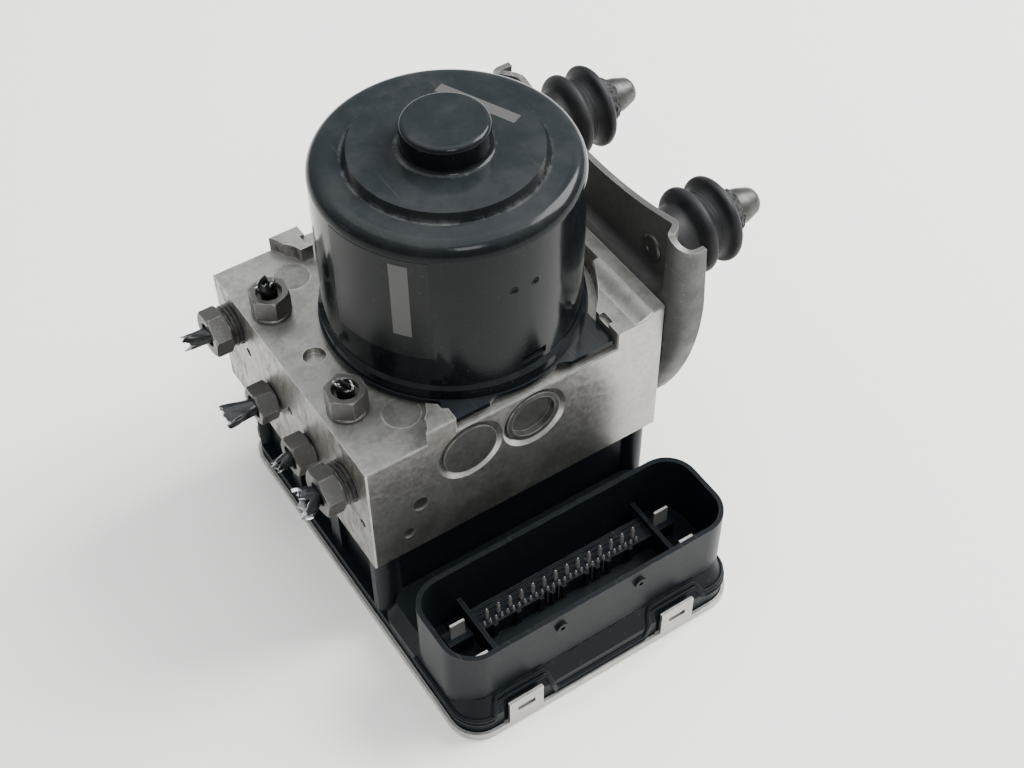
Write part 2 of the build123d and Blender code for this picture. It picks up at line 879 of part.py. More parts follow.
def carbon_brushes():
    """Two carbon brushes bearing on the commutator."""
    brushes = []
    z = brush_level()
    start = commutator_radius + fit_gap
    for turn in (0, 180):
        block = slab(start, start + brush_length, -brush_width / 2, brush_width / 2,
                     z - brush_height / 2, z + brush_height / 2)
        brushes.append(Rot(0, 0, turn) * block)
    return brushes


def brush_springs():
    """Coil springs behind the brushes."""
    springs = []
    start = commutator_radius + fit_gap + brush_length + fit_gap
    end = commutator_radius + brush_box_start + brush_box_length - brush_box_wall - fit_gap
    coil = coil_spring(brush_spring_radius, brush_spring_wire, end - start, brush_spring_turns)
    for turn in (0, 180):
        springs.append(Rot(0, 0, turn) * Pos(start, 0, brush_level()) * Rot(0, 90, 0) * coil)
    return springs


# ---------------------------------------------------------------- pump
def pump_barrel(face):
    """Steel sleeve that guides one pump piston."""
    side = 1 if face > 0 else -1
    inner = side * chamber_radius
    outer = face - side * cap_length
    barrel = disc_y(pump_offset, z_pump, inner, outer, barrel_radius - fit_gap)
    barrel = barrel - disc_y(pump_offset, z_pump, inner, outer, piston_radius + run_gap)
    mouth = inner + side * barrel_bore_length
    barrel = barrel - disc_y(pump_offset, z_pump, mouth, outer, spring_bore_radius)
    relief = disc_z(0, 0, z_bench - chamber_depth, z_bench, chamber_radius)
    return barrel - relief


piston_nose = eccentricity + eccentric_ring_radius + piston_start_gap


def pump_piston(side):
    """Hardened pump piston, nose towards the eccentric."""
    nose = side * piston_nose
    end = side * (piston_nose + piston_length)
    piston = disc_y(pump_offset, z_pump, nose, end, piston_radius)
    return chamfer(piston.edges().filter_by(GeomType.CIRCLE), piston_chamfer)


def pump_spring(face):
    """Return spring between the piston and its cap."""
    side = 1 if face > 0 else -1
    start = piston_nose + piston_length + fit_gap
    end = abs(face) - cap_length - fit_gap
    spring = coil_spring(pump_spring_radius, pump_spring_wire, end - start, pump_spring_turns)
    turn = Rot(-90, 0, 0) if side > 0 else Rot(90, 0, 0)
    return Pos(pump_offset, side * start, z_pump) * turn * spring


def pump_cap(face):
    """Screwed-in cap with a dished face."""
    side = 1 if face > 0 else -1
    outer = face - side * cap_sink
    cap = disc_y(pump_offset, z_pump, face - side * cap_length, outer, cap_radius)
    cap = cap - disc_y(pump_offset, z_pump, outer - side * cap_dish_depth, outer, cap_dish_radius)
    return cap


def damper_caps():
    """Flush caps over the two damper chambers."""
    caps = []
    for face in (y_front, y_back):
        side = 1 if face > 0 else -1
        x = from_left(damper_from_left)
        outer = face - side * damper_cap_sink
        caps.append(disc_y(x, z_pump, face - side * (damper_cap_length + damper_ring_depth), outer,
                           damper_radius))
    return caps


# ---------------------------------------------------------------- accumulators
def accumulator_piston(place):
    """Cup piston of one low-pressure accumulator, at the top of its travel."""
    x, y = from_left(place), y_accumulators
    top = z_block + accumulator_depth - accumulator_top_gap
    foot = top - accumulator_piston_length
    radius = accumulator_radius - run_gap
    return disc_z(x, y, foot, top, radius) - disc_z(x, y, foot, top - accumulator_crown,
                                                    radius - accumulator_skirt)


def accumulator_spring(place):
    """Spring under the accumulator piston."""
    bottom = z_block + accumulator_cap_length + fit_gap
    top = z_block + accumulator_depth - accumulator_top_gap - accumulator_crown - fit_gap
    spring = coil_spring(accumulator_spring_radius, accumulator_spring_wire, top - bottom,
                         accumulator_spring_turns)
    return Pos(from_left(place), y_accumulators, bottom) * spring


def accumulator_caps():
    """Press-in covers of the accumulator bores."""
    caps = []
    for place in accumulator_from_left:
        x, y = from_left(place), y_accumulators
        caps.append(disc_z(x, y, z_block, z_block + accumulator_cap_length, accumulator_cap_radius - fit_gap))
    return caps


# ---------------------------------------------------------------- valves and electronics
def valve_places():
    """Plan places of the solenoid valves."""
    offsets = (-valve_outer_half_spacing, -valve_inner_half_spacing, valve_inner_half_spacing,
               valve_outer_half_spacing)
    rows = [from_front(valve_first_row + valve_row_pitch * index) for index in range(valve_row_count)]
    return [(x_valve_middle + offset, row) for offset in offsets for row in rows]


def valve_cartridges():
    """Welded valve cartridges: insert in the block, armature dome below it."""
    insert = valve_radius - fit_gap
    top = valve_depth - valve_top_gap
    body = turned([(0, top), (insert - valve_nose, top), (insert, top - valve_nose_length),
                   (insert, valve_collar_depth), (valve_collar_radius, valve_collar_depth),
                   (valve_collar_radius, 0), (dome_radius, 0), (dome_radius, dome_tip - dome_length),
                   (dome_radius - dome_tip, -dome_length), (0, -dome_length)])
    return [Pos(x, y, z_block) * body for x, y in valve_places()]


def valve_coils():
    """Potted coils that slip over the domes."""
    top = -coil_drop
    base = top - coil_length
    bore = dome_radius + coil_bore_gap
    waist = coil_radius - coil_waist
    coil = turned([(bore, top), (coil_radius, top), (coil_radius, top - coil_rim), (waist, top - coil_rim),
                   (waist, base + coil_rim), (coil_radius, base + coil_rim), (coil_radius, base),
                   (bore, base)])
    return [Pos(x, y, z_block) * coil for x, y in valve_places()]


def coil_terminals():
    """Terminal pairs from the coils to the circuit board."""
    top = z_block - coil_drop - coil_length
    pins = []
    for x, y in valve_places():
        for side in (-1, 1):
            px = x + side * terminal_spacing
            half = terminal_width / 2
            pins.append(slab(px - half, px + half, y - half, y + half, board_z + board_thickness, top))
    return pins


def pressure_sensor():
    """Pressure sensor plugged into the block's underside."""
    x, y = from_left(sensor_from_left), from_front(sensor_from_front)
    body = disc_z(x, y, z_block - sensor_plug_length, z_block, sensor_plug_radius)
    body = body + disc_z(x, y, z_block, z_block + sensor_depth - sensor_end_gap,
                         sensor_radius - fit_gap)
    for side in (-1, 1):
        body = body + disc_z(x + side * sensor_pin_offset, y, board_z + board_thickness,
                             z_block - sensor_plug_length, sensor_pin_radius)
    return body


def circuit_board():
    """Circuit board over the whole control unit, notched round the pillars."""
    x0, x1, y1 = frame_inside()
    board = slab(x0 + board_gap, x1 - board_gap, y_shroud_near + throat_margin + board_gap,
                 y1 - board_gap, board_z, board_z + board_thickness)
    for x, y in pillar_places():
        board = board - disc_z(x, y, board_z, board_z + board_thickness, unit_screw_head + board_pillar_gap)
    return board


def frame_inside():
    """Inner faces of the frame: left x, right x and rear y."""
    return (x_frame_left + frame_wall, x_frame_right - frame_wall, y_frame_back - frame_wall)


def board_components():
    """Controller, driver chips and capacitors under the board."""
    chips = []
    layout = ((-22.0, -6.0, 14.0, 14.0, 1.6), (8.0, -4.0, 10.0, 10.0, 1.4), (26.0, 8.0, 8.0, 12.0, 1.8),
              (-28.0, 22.0, 9.0, 7.0, 1.5), (-6.0, 24.0, 7.0, 7.0, 1.5), (16.0, 28.0, 12.0, 8.0, 2.0),
              (-34.0, -62.0, 8.0, 10.0, 1.8), (24.0, -64.0, 10.0, 8.0, 1.8))
    for x, y, width, depth, height in layout:
        chips.append(slab(x - width / 2, x + width / 2, y - depth / 2, y + depth / 2, board_z - height, board_z))
    return chips


# ---------------------------------------------------------------- control unit housing
def base_body():
    """Lower tray of the housing: low behind, a raised deck with sloped skirts in front."""
    x0 = x_left + base_inset
    x1 = x_plate_right - base_inset
    y0 = y_plate_front + base_inset
    y1 = y_plate_back - base_inset
    z0 = plate_thickness
    corner = plate_corner - base_inset
    low = rounded_slab(x0, x1, y0, y1, z0, base_rear_top, corner)
    y_deck = y_frame_front + frame_wall
    skirt_z = deck_height - skirt_drop
    mid = rounded_slab(x0, x1, y0, y_deck, z0, skirt_z, corner)
    outline = RectangleRounded(x1 - x0, y_deck - y0, corner)
    slope = Pos((x0 + x1) / 2, (y0 + y_deck) / 2, skirt_z) * extrude(
        outline, skirt_drop, taper=degrees_of(skirt_run, skirt_drop))
    return low + mid + slope


def degrees_of(run, rise):
    """Slope angle in degrees of a run over a rise."""
    return degrees(atan2(run, rise))


def frame_body():
    """Upright frame that carries the block, with a pillar in each corner."""
    top = z_block - seal_height
    frame = slab(x_frame_left, x_frame_right, y_frame_front, y_frame_back, plate_thickness, top)
    half = frame_rib_width / 2
    for share in (frame_rib_share, 1 - frame_rib_share):
        y = from_front(block_depth * share)
        for x in (x_frame_left - frame_rib, x_frame_right):
            frame = frame + slab(x, x + frame_rib, y - half, y + half, plate_thickness, top)
    return frame


def housing_hollows():
    """Spaces inside the housing."""
    wall = housing_wall
    x0 = x_left + base_inset + wall
    x1 = x_plate_right - base_inset - wall
    y0 = y_plate_front + base_inset + wall
    y1 = y_plate_back - base_inset - wall
    z0 = plate_thickness
    tray = rounded_slab(x0, x1, y0, y1, z0, base_rear_top - wall, plate_corner - base_inset - wall)
    under = shroud_floor - floor_thickness
    fx0, fx1, fy1 = frame_inside()
    fy0 = y_frame_front + frame_wall
    inside = slab(fx0, fx1, fy0, fy1, z0, z_block)
    throat = slab(fx0, fx1, y_shroud_near + throat_margin, fy0, z0, under)
    return [tray, inside, throat]


def shroud_body():
    """Connector shroud with its rounded ends."""
    return rounded_slab(x_shroud_left, x_shroud_right, y_shroud_near, y_shroud_far, shroud_floor - floor_thickness,
                        shroud_top, shroud_corner)


def shroud_hollow():
    """Inside of the shroud above its floor."""
    return rounded_slab(x_shroud_left + shroud_wall, x_shroud_right - shroud_wall, y_shroud_near + shroud_wall,
                        y_shroud_far - shroud_wall, shroud_floor, shroud_top, shroud_corner - shroud_wall)


def contact_places():
    """(x, y, width, top) of every signal pin: one tall row and one dense short row."""
    places = []
    for index in range(tall_pins):
        places.append((first_pin_x + index * pin_pitch, y_tall_row, pin_width, tall_pin_top))
    for index in range(short_pins):
        x = first_pin_x + (index - 1) * pin_pitch / 2
        places.append((x, y_short_row, short_pin_width, short_pin_top))
    return places


def shroud_fittings():
    """Dividers, pin platform with its guide strip, and the comb inside the shroud."""
    pieces = []
    y0 = y_shroud_near + shroud_wall
    y1 = y_shroud_far - shroud_wall
    for x in divider_places():
        pieces.append(slab(x - divider_wall / 2, x + divider_wall / 2, y0, y1, shroud_floor, divider_top))
    left, right = divider_places()
    y_near = y_short_row - platform_near_margin
    y_far = y_tall_row + platform_far_margin
    pieces.append(slab(left, right, y_near, y_far, shroud_floor, platform_top))
    guide = slab(left, right, y_far - guide_width, y_far, platform_top, platform_top + guide_rise)
    middle = y_far - guide_width / 2
    groove = slab(left, right, middle - guide_groove / 2, middle + guide_groove / 2, platform_top,
                  platform_top + guide_rise)
    pieces.append(guide - groove)
    half = comb_tooth_width / 2
    for index in comb_teeth:
        x = first_pin_x + index * pin_pitch + pin_pitch / 4
        pieces.append(slab(x - half, x + half, y_near - comb_tooth_reach, y_near, shroud_floor, platform_top))
    return pieces


def comb_recesses():
    """Notches between the comb teeth that stand in neighbouring places."""
    cuts = []
    y_near = y_short_row - platform_near_margin
    half = comb_recess_width / 2
    for index in comb_teeth:
        if index + 1 in comb_teeth:
            x = first_pin_x + (index + 0.5) * pin_pitch + pin_pitch / 4
            cuts.append(slab(x - half, x + half, y_near, y_near + comb_recess_depth, shroud_floor, platform_top))
    return cuts


def divider_places():
    """X places of the two dividers."""
    return (x_shroud_left + divider_left_inset, x_shroud_right - divider_right_inset)


def power_blade_places():
    """(x, y) of the wide power contacts, two in each end bay."""
    places = (x_shroud_left + blade_left_inset, x_shroud_right - blade_right_inset)
    return [(x, y_front - row) for x in places for row in blade_rows_from_front]


def ecu_housing():
    """Moulded housing of the control unit with its connector shroud."""
    housing = base_body() + frame_body() + shroud_body()
    for hollow in housing_hollows():
        housing = housing - hollow
    housing = housing - shroud_hollow()
    tray = rounded_slab(x_left + base_inset, x_plate_right - base_inset, y_plate_front + base_inset,
                        y_plate_back - base_inset, plate_thickness, z_block, plate_corner - base_inset)
    for x, y in pillar_places():
        housing = housing + (disc_z(x, y, plate_thickness, z_block - seal_height, pillar_radius) & tray)
    for piece in shroud_fittings():
        housing = housing + piece
    for cut in comb_recesses():
        housing = housing - cut
    pad_top = shroud_floor + blade_pad_rise
    pad_half = blade_width / 2 + blade_pad_margin
    for x, y in power_blade_places():
        housing = housing + slab(x - pad_half, x + pad_half, y - blade_pad_half_depth, y + blade_pad_half_depth,
                                 shroud_floor, pad_top)
    for x, y in pillar_places():
        housing = housing - disc_z(x, y, plate_thickness, z_block, unit_screw_radius + unit_screw_hole_gap)
        housing = housing - disc_z(x, y, plate_thickness, unit_screw_seat, unit_screw_head + unit_screw_head_gap)
    for x, y, width, top in contact_places():
        half = width / 2 + fit_gap
        housing = housing - slab(x - half, x + half, y - half, y + half, board_z, platform_top)
    for x, y in power_blade_places():
        housing = housing - slab(x - blade_width / 2 - fit_gap, x + blade_width / 2 + fit_gap,
                                 y - blade_thickness / 2 - fit_gap, y + blade_thickness / 2 + fit_gap,
                                 board_z, pad_top)
    recess = tab_width / 2 + tab_recess_gap
    for x in tab_places():
        housing = housing - slab(x - recess, x + recess, y_plate_front, y_plate_front + base_inset + tab_thickness,
                                 plate_thickness, tab_height + tab_recess_gap)
    for along in catch_from_left:
        catch = disc_y(from_left(along), catch_height, y_shroud_near - catch_rise, y_shroud_near + shroud_wall / 2,
                       catch_radius)
        hole = disc_y(from_left(along), catch_height, y_shroud_near - catch_rise, y_shroud_near, catch_hole_radius)
        housing = housing + catch - hole
    return housing


def tab_places():
    """X places of the cover plate's clip tabs."""
    return (from_left(left_tab_from_left), from_left(right_tab_from_left))


def signal_pins():
    """Signal pins of the connector, one tall row and one short row."""
    pins = []
    for x, y, width, top in contact_places():
        half = width / 2
        pins.append(slab(x - half, x + half, y - half, y + half, board_z + board_thickness, top))
    return pins


def power_blades():
    """Wide blades for pump and valve supply."""
    blades = []
    for x, y in power_blade_places():
        blade = slab(x - blade_width / 2, x + blade_width / 2, y - blade_thickness / 2,
                     y + blade_thickness / 2, board_z + board_thickness, blade_top)
        blades.append(blade)
    return blades


def ecu_cover_plate():
    """Pressed cover plate with a turned-up lip and clip tabs."""
    x0, x1 = x_left, x_plate_right
    y0, y1 = y_plate_front, y_plate_back
    tray = rounded_slab(x0, x1, y0, y1, 0, plate_lip, plate_corner)
    bottom_edges = tray.faces().sort_by(Axis.Z)[0].edges()
    tray = fillet(bottom_edges, plate_thickness * 0.8)
    inner = rounded_slab(x0 + plate_lip_wall, x1 - plate_lip_wall, y0 + plate_lip_wall, y1 - plate_lip_wall,
                         plate_thickness, plate_lip + 1.0, plate_corner - plate_lip_wall)
    tray = tray - inner
    window_top = tab_height - tab_window_drop
    for x in tab_places():
        tab = slab(x - tab_width / 2, x + tab_width / 2, y0, y0 + tab_thickness, plate_thickness, tab_height)
        window = slab(x - tab_window_width / 2, x + tab_window_width / 2, y0, y0 + tab_thickness,
                      window_top - tab_window_height, window_top)
        tray = tray + (tab - window)
    return tray


def block_seal():
    """Gasket between the control unit's frame and the block."""
    z0 = z_block - seal_height
    outer = slab(x_frame_left, x_frame_right, y_frame_front, y_frame_back, z0, z_block)
    inner = slab(x_frame_left + frame_wall, x_frame_right - frame_wall, y_frame_front + frame_wall,
                 y_frame_back - frame_wall, z0, z_block)
    ring = outer - inner
    for x, y in pillar_places():
        ring = ring + disc_z(x, y, z0, z_block, pillar_radius)
        ring = ring - disc_z(x, y, z0, z_block, unit_screw_radius + unit_screw_hole_gap)
    return ring


def unit_screws():
    """Screws that hold the control unit under the block."""
    screws = []
    for x, y in pillar_places():
        shank = disc_z(x, y, unit_screw_seat, z_block + unit_screw_grip, unit_screw_radius - fit_gap)
        head = disc_z(x, y, unit_screw_seat - unit_screw_head_height, unit_screw_seat, unit_screw_head)
        hexagonal = extrude(RegularPolygon(unit_screw_socket, 6), unit_screw_socket_depth)
        socket = Pos(x, y, unit_screw_seat - unit_screw_head_height) * hexagonal
        screws.append(shank + head - socket)
    return screws


# ---------------------------------------------------------------- plugs and pipe ports
def bench_plug_set():
    """Staked round plugs in the bench."""
    plugs = []
    for along, depth in bench_plugs:
        x, y = from_left(along), from_front(depth)
        plugs.append(disc_z(x, y, z_bench - bench_plug_depth, z_bench - bench_plug_sink,
                            bench_plug_radius - fit_gap))
    return plugs


def drilling_plugs():
    """Small ball plugs in the front face drillings."""
    plugs = []
    for along, height, radius in front_plugs:
        x, z = from_left(along), above_block(height)
        plug = disc_y(x, z, y_front + drilling_plug_sink, y_front + drilling_depth, radius - fit_gap)
        plugs.append(plug)
    return plugs


def pipe_nut(across_flats, thread, hex_start, hex_length):
    """Pipe nut along +Z: thread below Z = 0, hexagon above it, bored for the pipe."""
    shank = disc_z(0, 0, -thread_grip, hex_start, thread - fit_gap)
    head = Pos(0, 0, hex_start) * hexagon(across_flats, hex_length)
    top = hex_start + hex_length
    nut = shank + head - disc_z(0, 0, -thread_grip, top, pipe_radius)
    return nut - disc_z(0, 0, top - nut_mouth_depth, top, nut_mouth_radius)


def pipe_stub(hex_end, length, slant, twist):
    """Sheared-off pipe end along +Z, cut at a slant, with its flared seat at the bottom."""
    top = hex_end + length
    tube = disc_z(0, 0, -thread_grip, top, pipe_radius - fit_gap)
    tube = tube - disc_z(0, 0, -thread_grip - 1, top + 1, pipe_radius - pipe_wall)
    knife = Pos(0, 0, top) * Rot(0, 0, twist) * Rot(slant, 0, 0) * slab(-20, 20, -20, 20, 0, 30)
    nick = Pos(0, 0, top) * Rot(0, 0, twist + 70) * Rot(-slant * 0.8, 0, 0) * slab(0, 20, -20, 20, -0.8, 30)
    return tube - knife - nick


def on_left_face(along, height, shape):
    """Place a +Z piece on the left face, pointing outwards."""
    return Pos(x_left, from_front(along), above_block(height)) * Rot(0, -90, 0) * shape


def on_bench(row, shape):
    """Place a +Z piece on the bench."""
    return Pos(from_left(top_port_from_left), from_front(row), z_bench) * shape


def write_pipe_ports():
    """Nuts and pipe stubs of the six ports."""
    large = pipe_nut(large_hex, large_thread, large_hex_start, large_hex_length)
    small = pipe_nut(small_hex, small_thread, small_hex_start, small_hex_length)
    top = pipe_nut(small_hex, small_thread, top_hex_start, top_hex_length)
    save("side_pipe_nuts_large", [on_left_face(a, h, Rot(0, 0, large_hex_turn) * large) for a, h in side_port_large])
    save("side_pipe_nuts_small", [on_left_face(a, h, Rot(0, 0, small_hex_turn) * small) for a, h in side_port_small])
    save("top_pipe_nuts", [on_bench(row, Rot(0, 0, top_hex_turn) * top) for row in top_port_rows])
    large_end = large_hex_start + large_hex_length
    small_end = small_hex_start + small_hex_length
    top_end = top_hex_start + top_hex_length
    save("side_pipe_stub_rear", on_left_face(*side_port_large[0], pipe_stub(large_end, large_stub, 55, 200)))
    save("side_pipe_stub_upper_middle", on_left_face(*side_port_small[0], pipe_stub(small_end, rear_stub, 25, 120)))
    save("side_pipe_stub_lower_middle", on_left_face(*side_port_small[1], pipe_stub(small_end, short_stub, 40, 60)))
    save("side_pipe_stub_front", on_left_face(*side_port_large[1], pipe_stub(large_end, short_stub, 45, 20)))
    save("top_pipe_stub_front", on_bench(top_port_rows[0], pipe_stub(top_end, top_front_stub, 30, 90)))
    save("top_pipe_stub_rear", on_bench(top_port_rows[1], pipe_stub(top_end, top_rear_stub, 50, 150)))


# ---------------------------------------------------------------- bracket and mounts
bracket_y = (y_front + y_back) / 2 - bracket_shift
bracket_x = x_right + bracket_gap


def bracket_outline(inset):
    """Side outline of the bracket: straight foot, full curved ends, slightly waisted top."""
    half = bracket_half_length - inset
    foot_half = half - bracket_foot_inset
    low = above_block(bracket_bottom)
    mid = above_block(bracket_widest_height)
    waist = above_block(bracket_waist_height)
    top_end = above_block(bracket_top_end) - bracket_shoulder_drop
    shoulder = half - bracket_shoulder_inset
    top_mid = above_block(bracket_top_middle)
    step = emboss_half_length
    def at(offset, height):
        return (bracket_x, bracket_y + offset, height)
    edges = [Line(at(-foot_half, low), at(foot_half, low)),
             ThreePointArc(at(foot_half, low), at(half - bracket_waist_inset, waist), at(half, mid)),
             Line(at(half, mid), at(shoulder, top_end)),
             Line(at(shoulder, top_end), at(step, above_block(bracket_top_end))),
             ThreePointArc(at(step, above_block(bracket_top_end)), at(0, top_mid),
                           at(-step, above_block(bracket_top_end))),
             Line(at(-step, above_block(bracket_top_end)), at(-shoulder, top_end)),
             Line(at(-shoulder, top_end), at(-half, mid)),
             ThreePointArc(at(-half, mid), at(-half + bracket_waist_inset, waist), at(-foot_half, low))]
    return make_face(Wire(edges))


def emboss_outline(inset, rise):
    """Outline of the raised panel that carries the mounts, open towards the top."""
    half = emboss_half_length - inset
    low = above_block(emboss_bottom) + inset
    high = above_block(bracket_top_end) + rise
    r = emboss_corner - inset
    s = sin(radians(45))
    def at(offset, height):
        return (bracket_x, bracket_y + offset, height)
    edges = [Line(at(-half + r, low), at(half - r, low)),
             ThreePointArc(at(half - r, low), at(half - r + r * s, low + r - r * s), at(half, low + r)),
             Line(at(half, low + r), at(half, high)), Line(at(half, high), at(-half, high)),
             Line(at(-half, high), at(-half, low + r)),
             ThreePointArc(at(-half, low + r), at(-half + r - r * s, low + r - r * s), at(-half + r, low))]
    return make_face(Wire(edges))


def mounting_bracket():
    """Pressed steel bracket: pan with rolled ends and a stepped-out mount panel."""
    outer = extrude(bracket_outline(0), wing_reach, dir=(1, 0, 0))
    face = outer.faces().sort_by(Axis.X)[0]
    ends = [edge for edge in face.edges() if is_end_edge(edge)]
    outer = fillet(ends, wing_roll)
    inner = extrude(bracket_outline(sheet), wing_reach, dir=(1, 0, 0))
    inner_face = inner.faces().sort_by(Axis.X)[0]
    inner_ends = [edge for edge in inner_face.edges() if is_end_edge(edge)]
    inner = Pos(sheet, 0, 0) * fillet(inner_ends, wing_roll - sheet)
    over = slab(bracket_x + sheet, bracket_x + wing_reach, bracket_y - foot_reach(), bracket_y + foot_reach(),
                above_block(bracket_bottom), above_block(bracket_top_end))
    pan = outer - inner - over
    limit = extrude(bracket_outline(0), wing_reach + emboss_step, dir=(1, 0, 0))
    window = extrude(emboss_outline(0, emboss_rise), sheet, dir=(1, 0, 0))
    raised = extrude(emboss_outline(-sheet, 2 * emboss_rise), emboss_step + sheet, dir=(1, 0, 0), taper=emboss_draft)
    hollow = extrude(emboss_outline(0, 3 * emboss_rise), emboss_step, dir=(1, 0, 0), taper=emboss_draft)
    bracket = (pan - window) + ((raised - hollow) & limit)
    for y in mount_places():
        bracket = bracket - disc_x(y, above_block(mount_height), bracket_x, mount_x, stud_radius + fit_gap)
    for y in bracket_screw_places():
        bracket = bracket - disc_x(y, above_block(bracket_screw_height), bracket_x, mount_x,
                                   bracket_screw_radius + bracket_hole_gap)
    return bracket


def foot_reach():
    """Half length of the part of the pan that stays flat."""
    return emboss_half_length + sheet


def is_end_edge(edge):
    """True for the edges along the bracket's two curved ends."""
    middle = edge @ 0.5
    beyond = abs(middle.Y - bracket_y) > (emboss_half_length + bracket_half_length) / 2
    return beyond and middle.Z < above_block(bracket_top_end) - bracket_shoulder_drop


def mount_places():
    """Y places of the two rubber mounts."""
    return (bracket_y - mount_half_spacing, bracket_y + mount_half_spacing)


mount_x = bracket_x + emboss_step + sheet


def turned_x(points, y):
    """Solid of revolution about an X-wise axis through the mount height at y: (x, radius) points."""
    outline = Polyline(*[(r, 0, x) for x, r in points], close=True)
    body = revolve(make_face(outline), Axis.Z)
    return Pos(0, y, above_block(mount_height)) * Rot(0, 90, 0) * body


def rubber_mount(y):
    """Grooved rubber bobbin with two flanges."""
    x0 = mount_x + fit_gap
    bore = stud_radius + fit_gap
    half = rubber_flange_width / 2
    root = rubber_body + rubber_root
    rim = rubber_flange - rubber_lip
    points = [(x0, bore), (x0, rubber_body - rubber_fillet), (x0 + rubber_foot, rubber_body)]
    for centre in (first_flange, second_flange):
        low = mount_x + centre - half
        high = mount_x + centre + half
        points += [(low - rubber_fillet, root), (low, rim), (low + rubber_lip, rubber_flange),
                   (high - rubber_lip, rubber_flange), (high, rim), (high + rubber_fillet, root)]
    end = mount_x + rubber_length
    points += [(end - rubber_neck_lip, tip_radius + rubber_neck), (end, tip_radius + rubber_root), (end, bore)]
    return turned_x(points, y)


def mount_stud(y):
    """Steel stud through the rubber with a tapered end."""
    x_end = mount_x + rubber_length
    x_cone = x_end + tip_barrel
    x_tip = x_cone + tip_cone
    head_x = mount_x - sheet
    flare = rivet_radius + rivet_flare
    points = [(head_x - rivet_head, 0), (head_x - rivet_head, rivet_radius - rivet_lip), (head_x - rivet_lip, flare),
              (head_x, flare), (head_x, stud_radius), (x_end, stud_radius), (x_end, tip_radius),
              (x_cone, tip_radius), (x_tip - tip_lip, tip_end_radius + tip_shoulder),
              (x_tip, tip_end_radius - tip_end_step), (x_tip, 0)]
    return turned_x(points, y)


def bracket_screws():
    """Flange screws that hold the bracket to the block's side."""
    screws = []
    x_seat = bracket_x + sheet
    for y in bracket_screw_places():
        shank = disc_z(0, 0, -bracket_screw_grip - bracket_gap - sheet, 0, bracket_screw_radius - fit_gap)
        washer = disc_z(0, 0, 0, bracket_washer_thickness, bracket_washer_radius)
        head = Pos(0, 0, bracket_washer_thickness) * hexagon(bracket_screw_flats, bracket_screw_head_height)
        screw = shank + washer + head
        screws.append(Pos(x_seat, y, above_block(bracket_screw_height)) * Rot(0, 90, 0) * screw)
    return screws


# ---------------------------------------------------------------- write every node
def main():
    """Build and write all nodes."""
    save("valve_block", valve_block())
    save("motor_can", motor_can())
    save("motor_end_plate", motor_end_plate())
    save("motor_seal", motor_seal())
    save("motor_magnets", motor_magnets())
    save("rotor_shaft", rotor_shaft())
    save("armature_core", armature_core())
    save("armature_windings", armature_windings())
    save("commutator", commutator())
    save("eccentric_bearing", eccentric_bearing())
    save("rear_bearing", ball_bearing(top_bearing_z0, top_bearing_z1, shaft_top_radius,
                                      boss_radius - can_wall - fit_gap))
    save("drive_end_bearing", ball_bearing(z_drive_bearing, z_drive_bearing + bearing_width, shaft_radius,
                                           drive_bearing_radius))
    save("tail_bearing", ball_bearing(tail_seat - tail_bearing_width, tail_seat, shaft_tail_radius,
                                      tail_bearing_radius - fit_gap))
    save("brush_holder", brush_holder())
    save("carbon_brushes", carbon_brushes())
    save("brush_springs", brush_springs())
    for name, face, side in (("front", y_front, -1), ("rear", y_back, 1)):
        save(f"{name}_pump_barrel", pump_barrel(face))
        save(f"{name}_pump_piston", pump_piston(side))
        save(f"{name}_pump_spring", pump_spring(face))
        save(f"{name}_pump_cap", pump_cap(face))
    save("damper_caps", damper_caps())
    for name, place in zip(("left", "right"), accumulator_from_left):
        save(f"{name}_accumulator_piston", accumulator_piston(place))
        save(f"{name}_accumulator_spring", accumulator_spring(place))
    save("accumulator_caps", accumulator_caps())
    save("valve_cartridges", valve_cartridges())
    save("valve_coils", valve_coils())
    save("coil_terminals", coil_terminals())
    save("pressure_sensor", pressure_sensor())
    save("circuit_board", circuit_board())
    save("board_components", board_components())
    save("ecu_housing", ecu_housing())
    save("signal_pins", signal_pins())
    save("power_blades", power_blades())
    save("ecu_cover_plate", ecu_cover_plate())
    save("block_seal", block_seal())
    save("unit_screws", unit_screws())
    save("bench_plugs", bench_plug_set())
    save("drilling_plugs", drilling_plugs())
    write_pipe_ports()
    save("mounting_bracket", mounting_bracket())
    save("bracket_screws", bracket_screws())
    for name, y in zip(("front", "rear"), mount_places()):
        save(f"rubber_mount_{name}", rubber_mount(y))
        save(f"mount_stud_{name}", mount_stud(y))


main()
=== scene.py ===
"""Dress of a brake control module: finishes, fine geometry, stage and camera.

Metres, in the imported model's frame: the origin lies on the motor axis under the cover plate,
+X points to the bracket, +Y away from the connector and +Z up.
"""
import logging
import math
from dataclasses import dataclass
from enum import Enum
from typing import Callable, Iterable, Sequence

import bmesh
import bpy
from mathutils import Matrix, Vector, noise


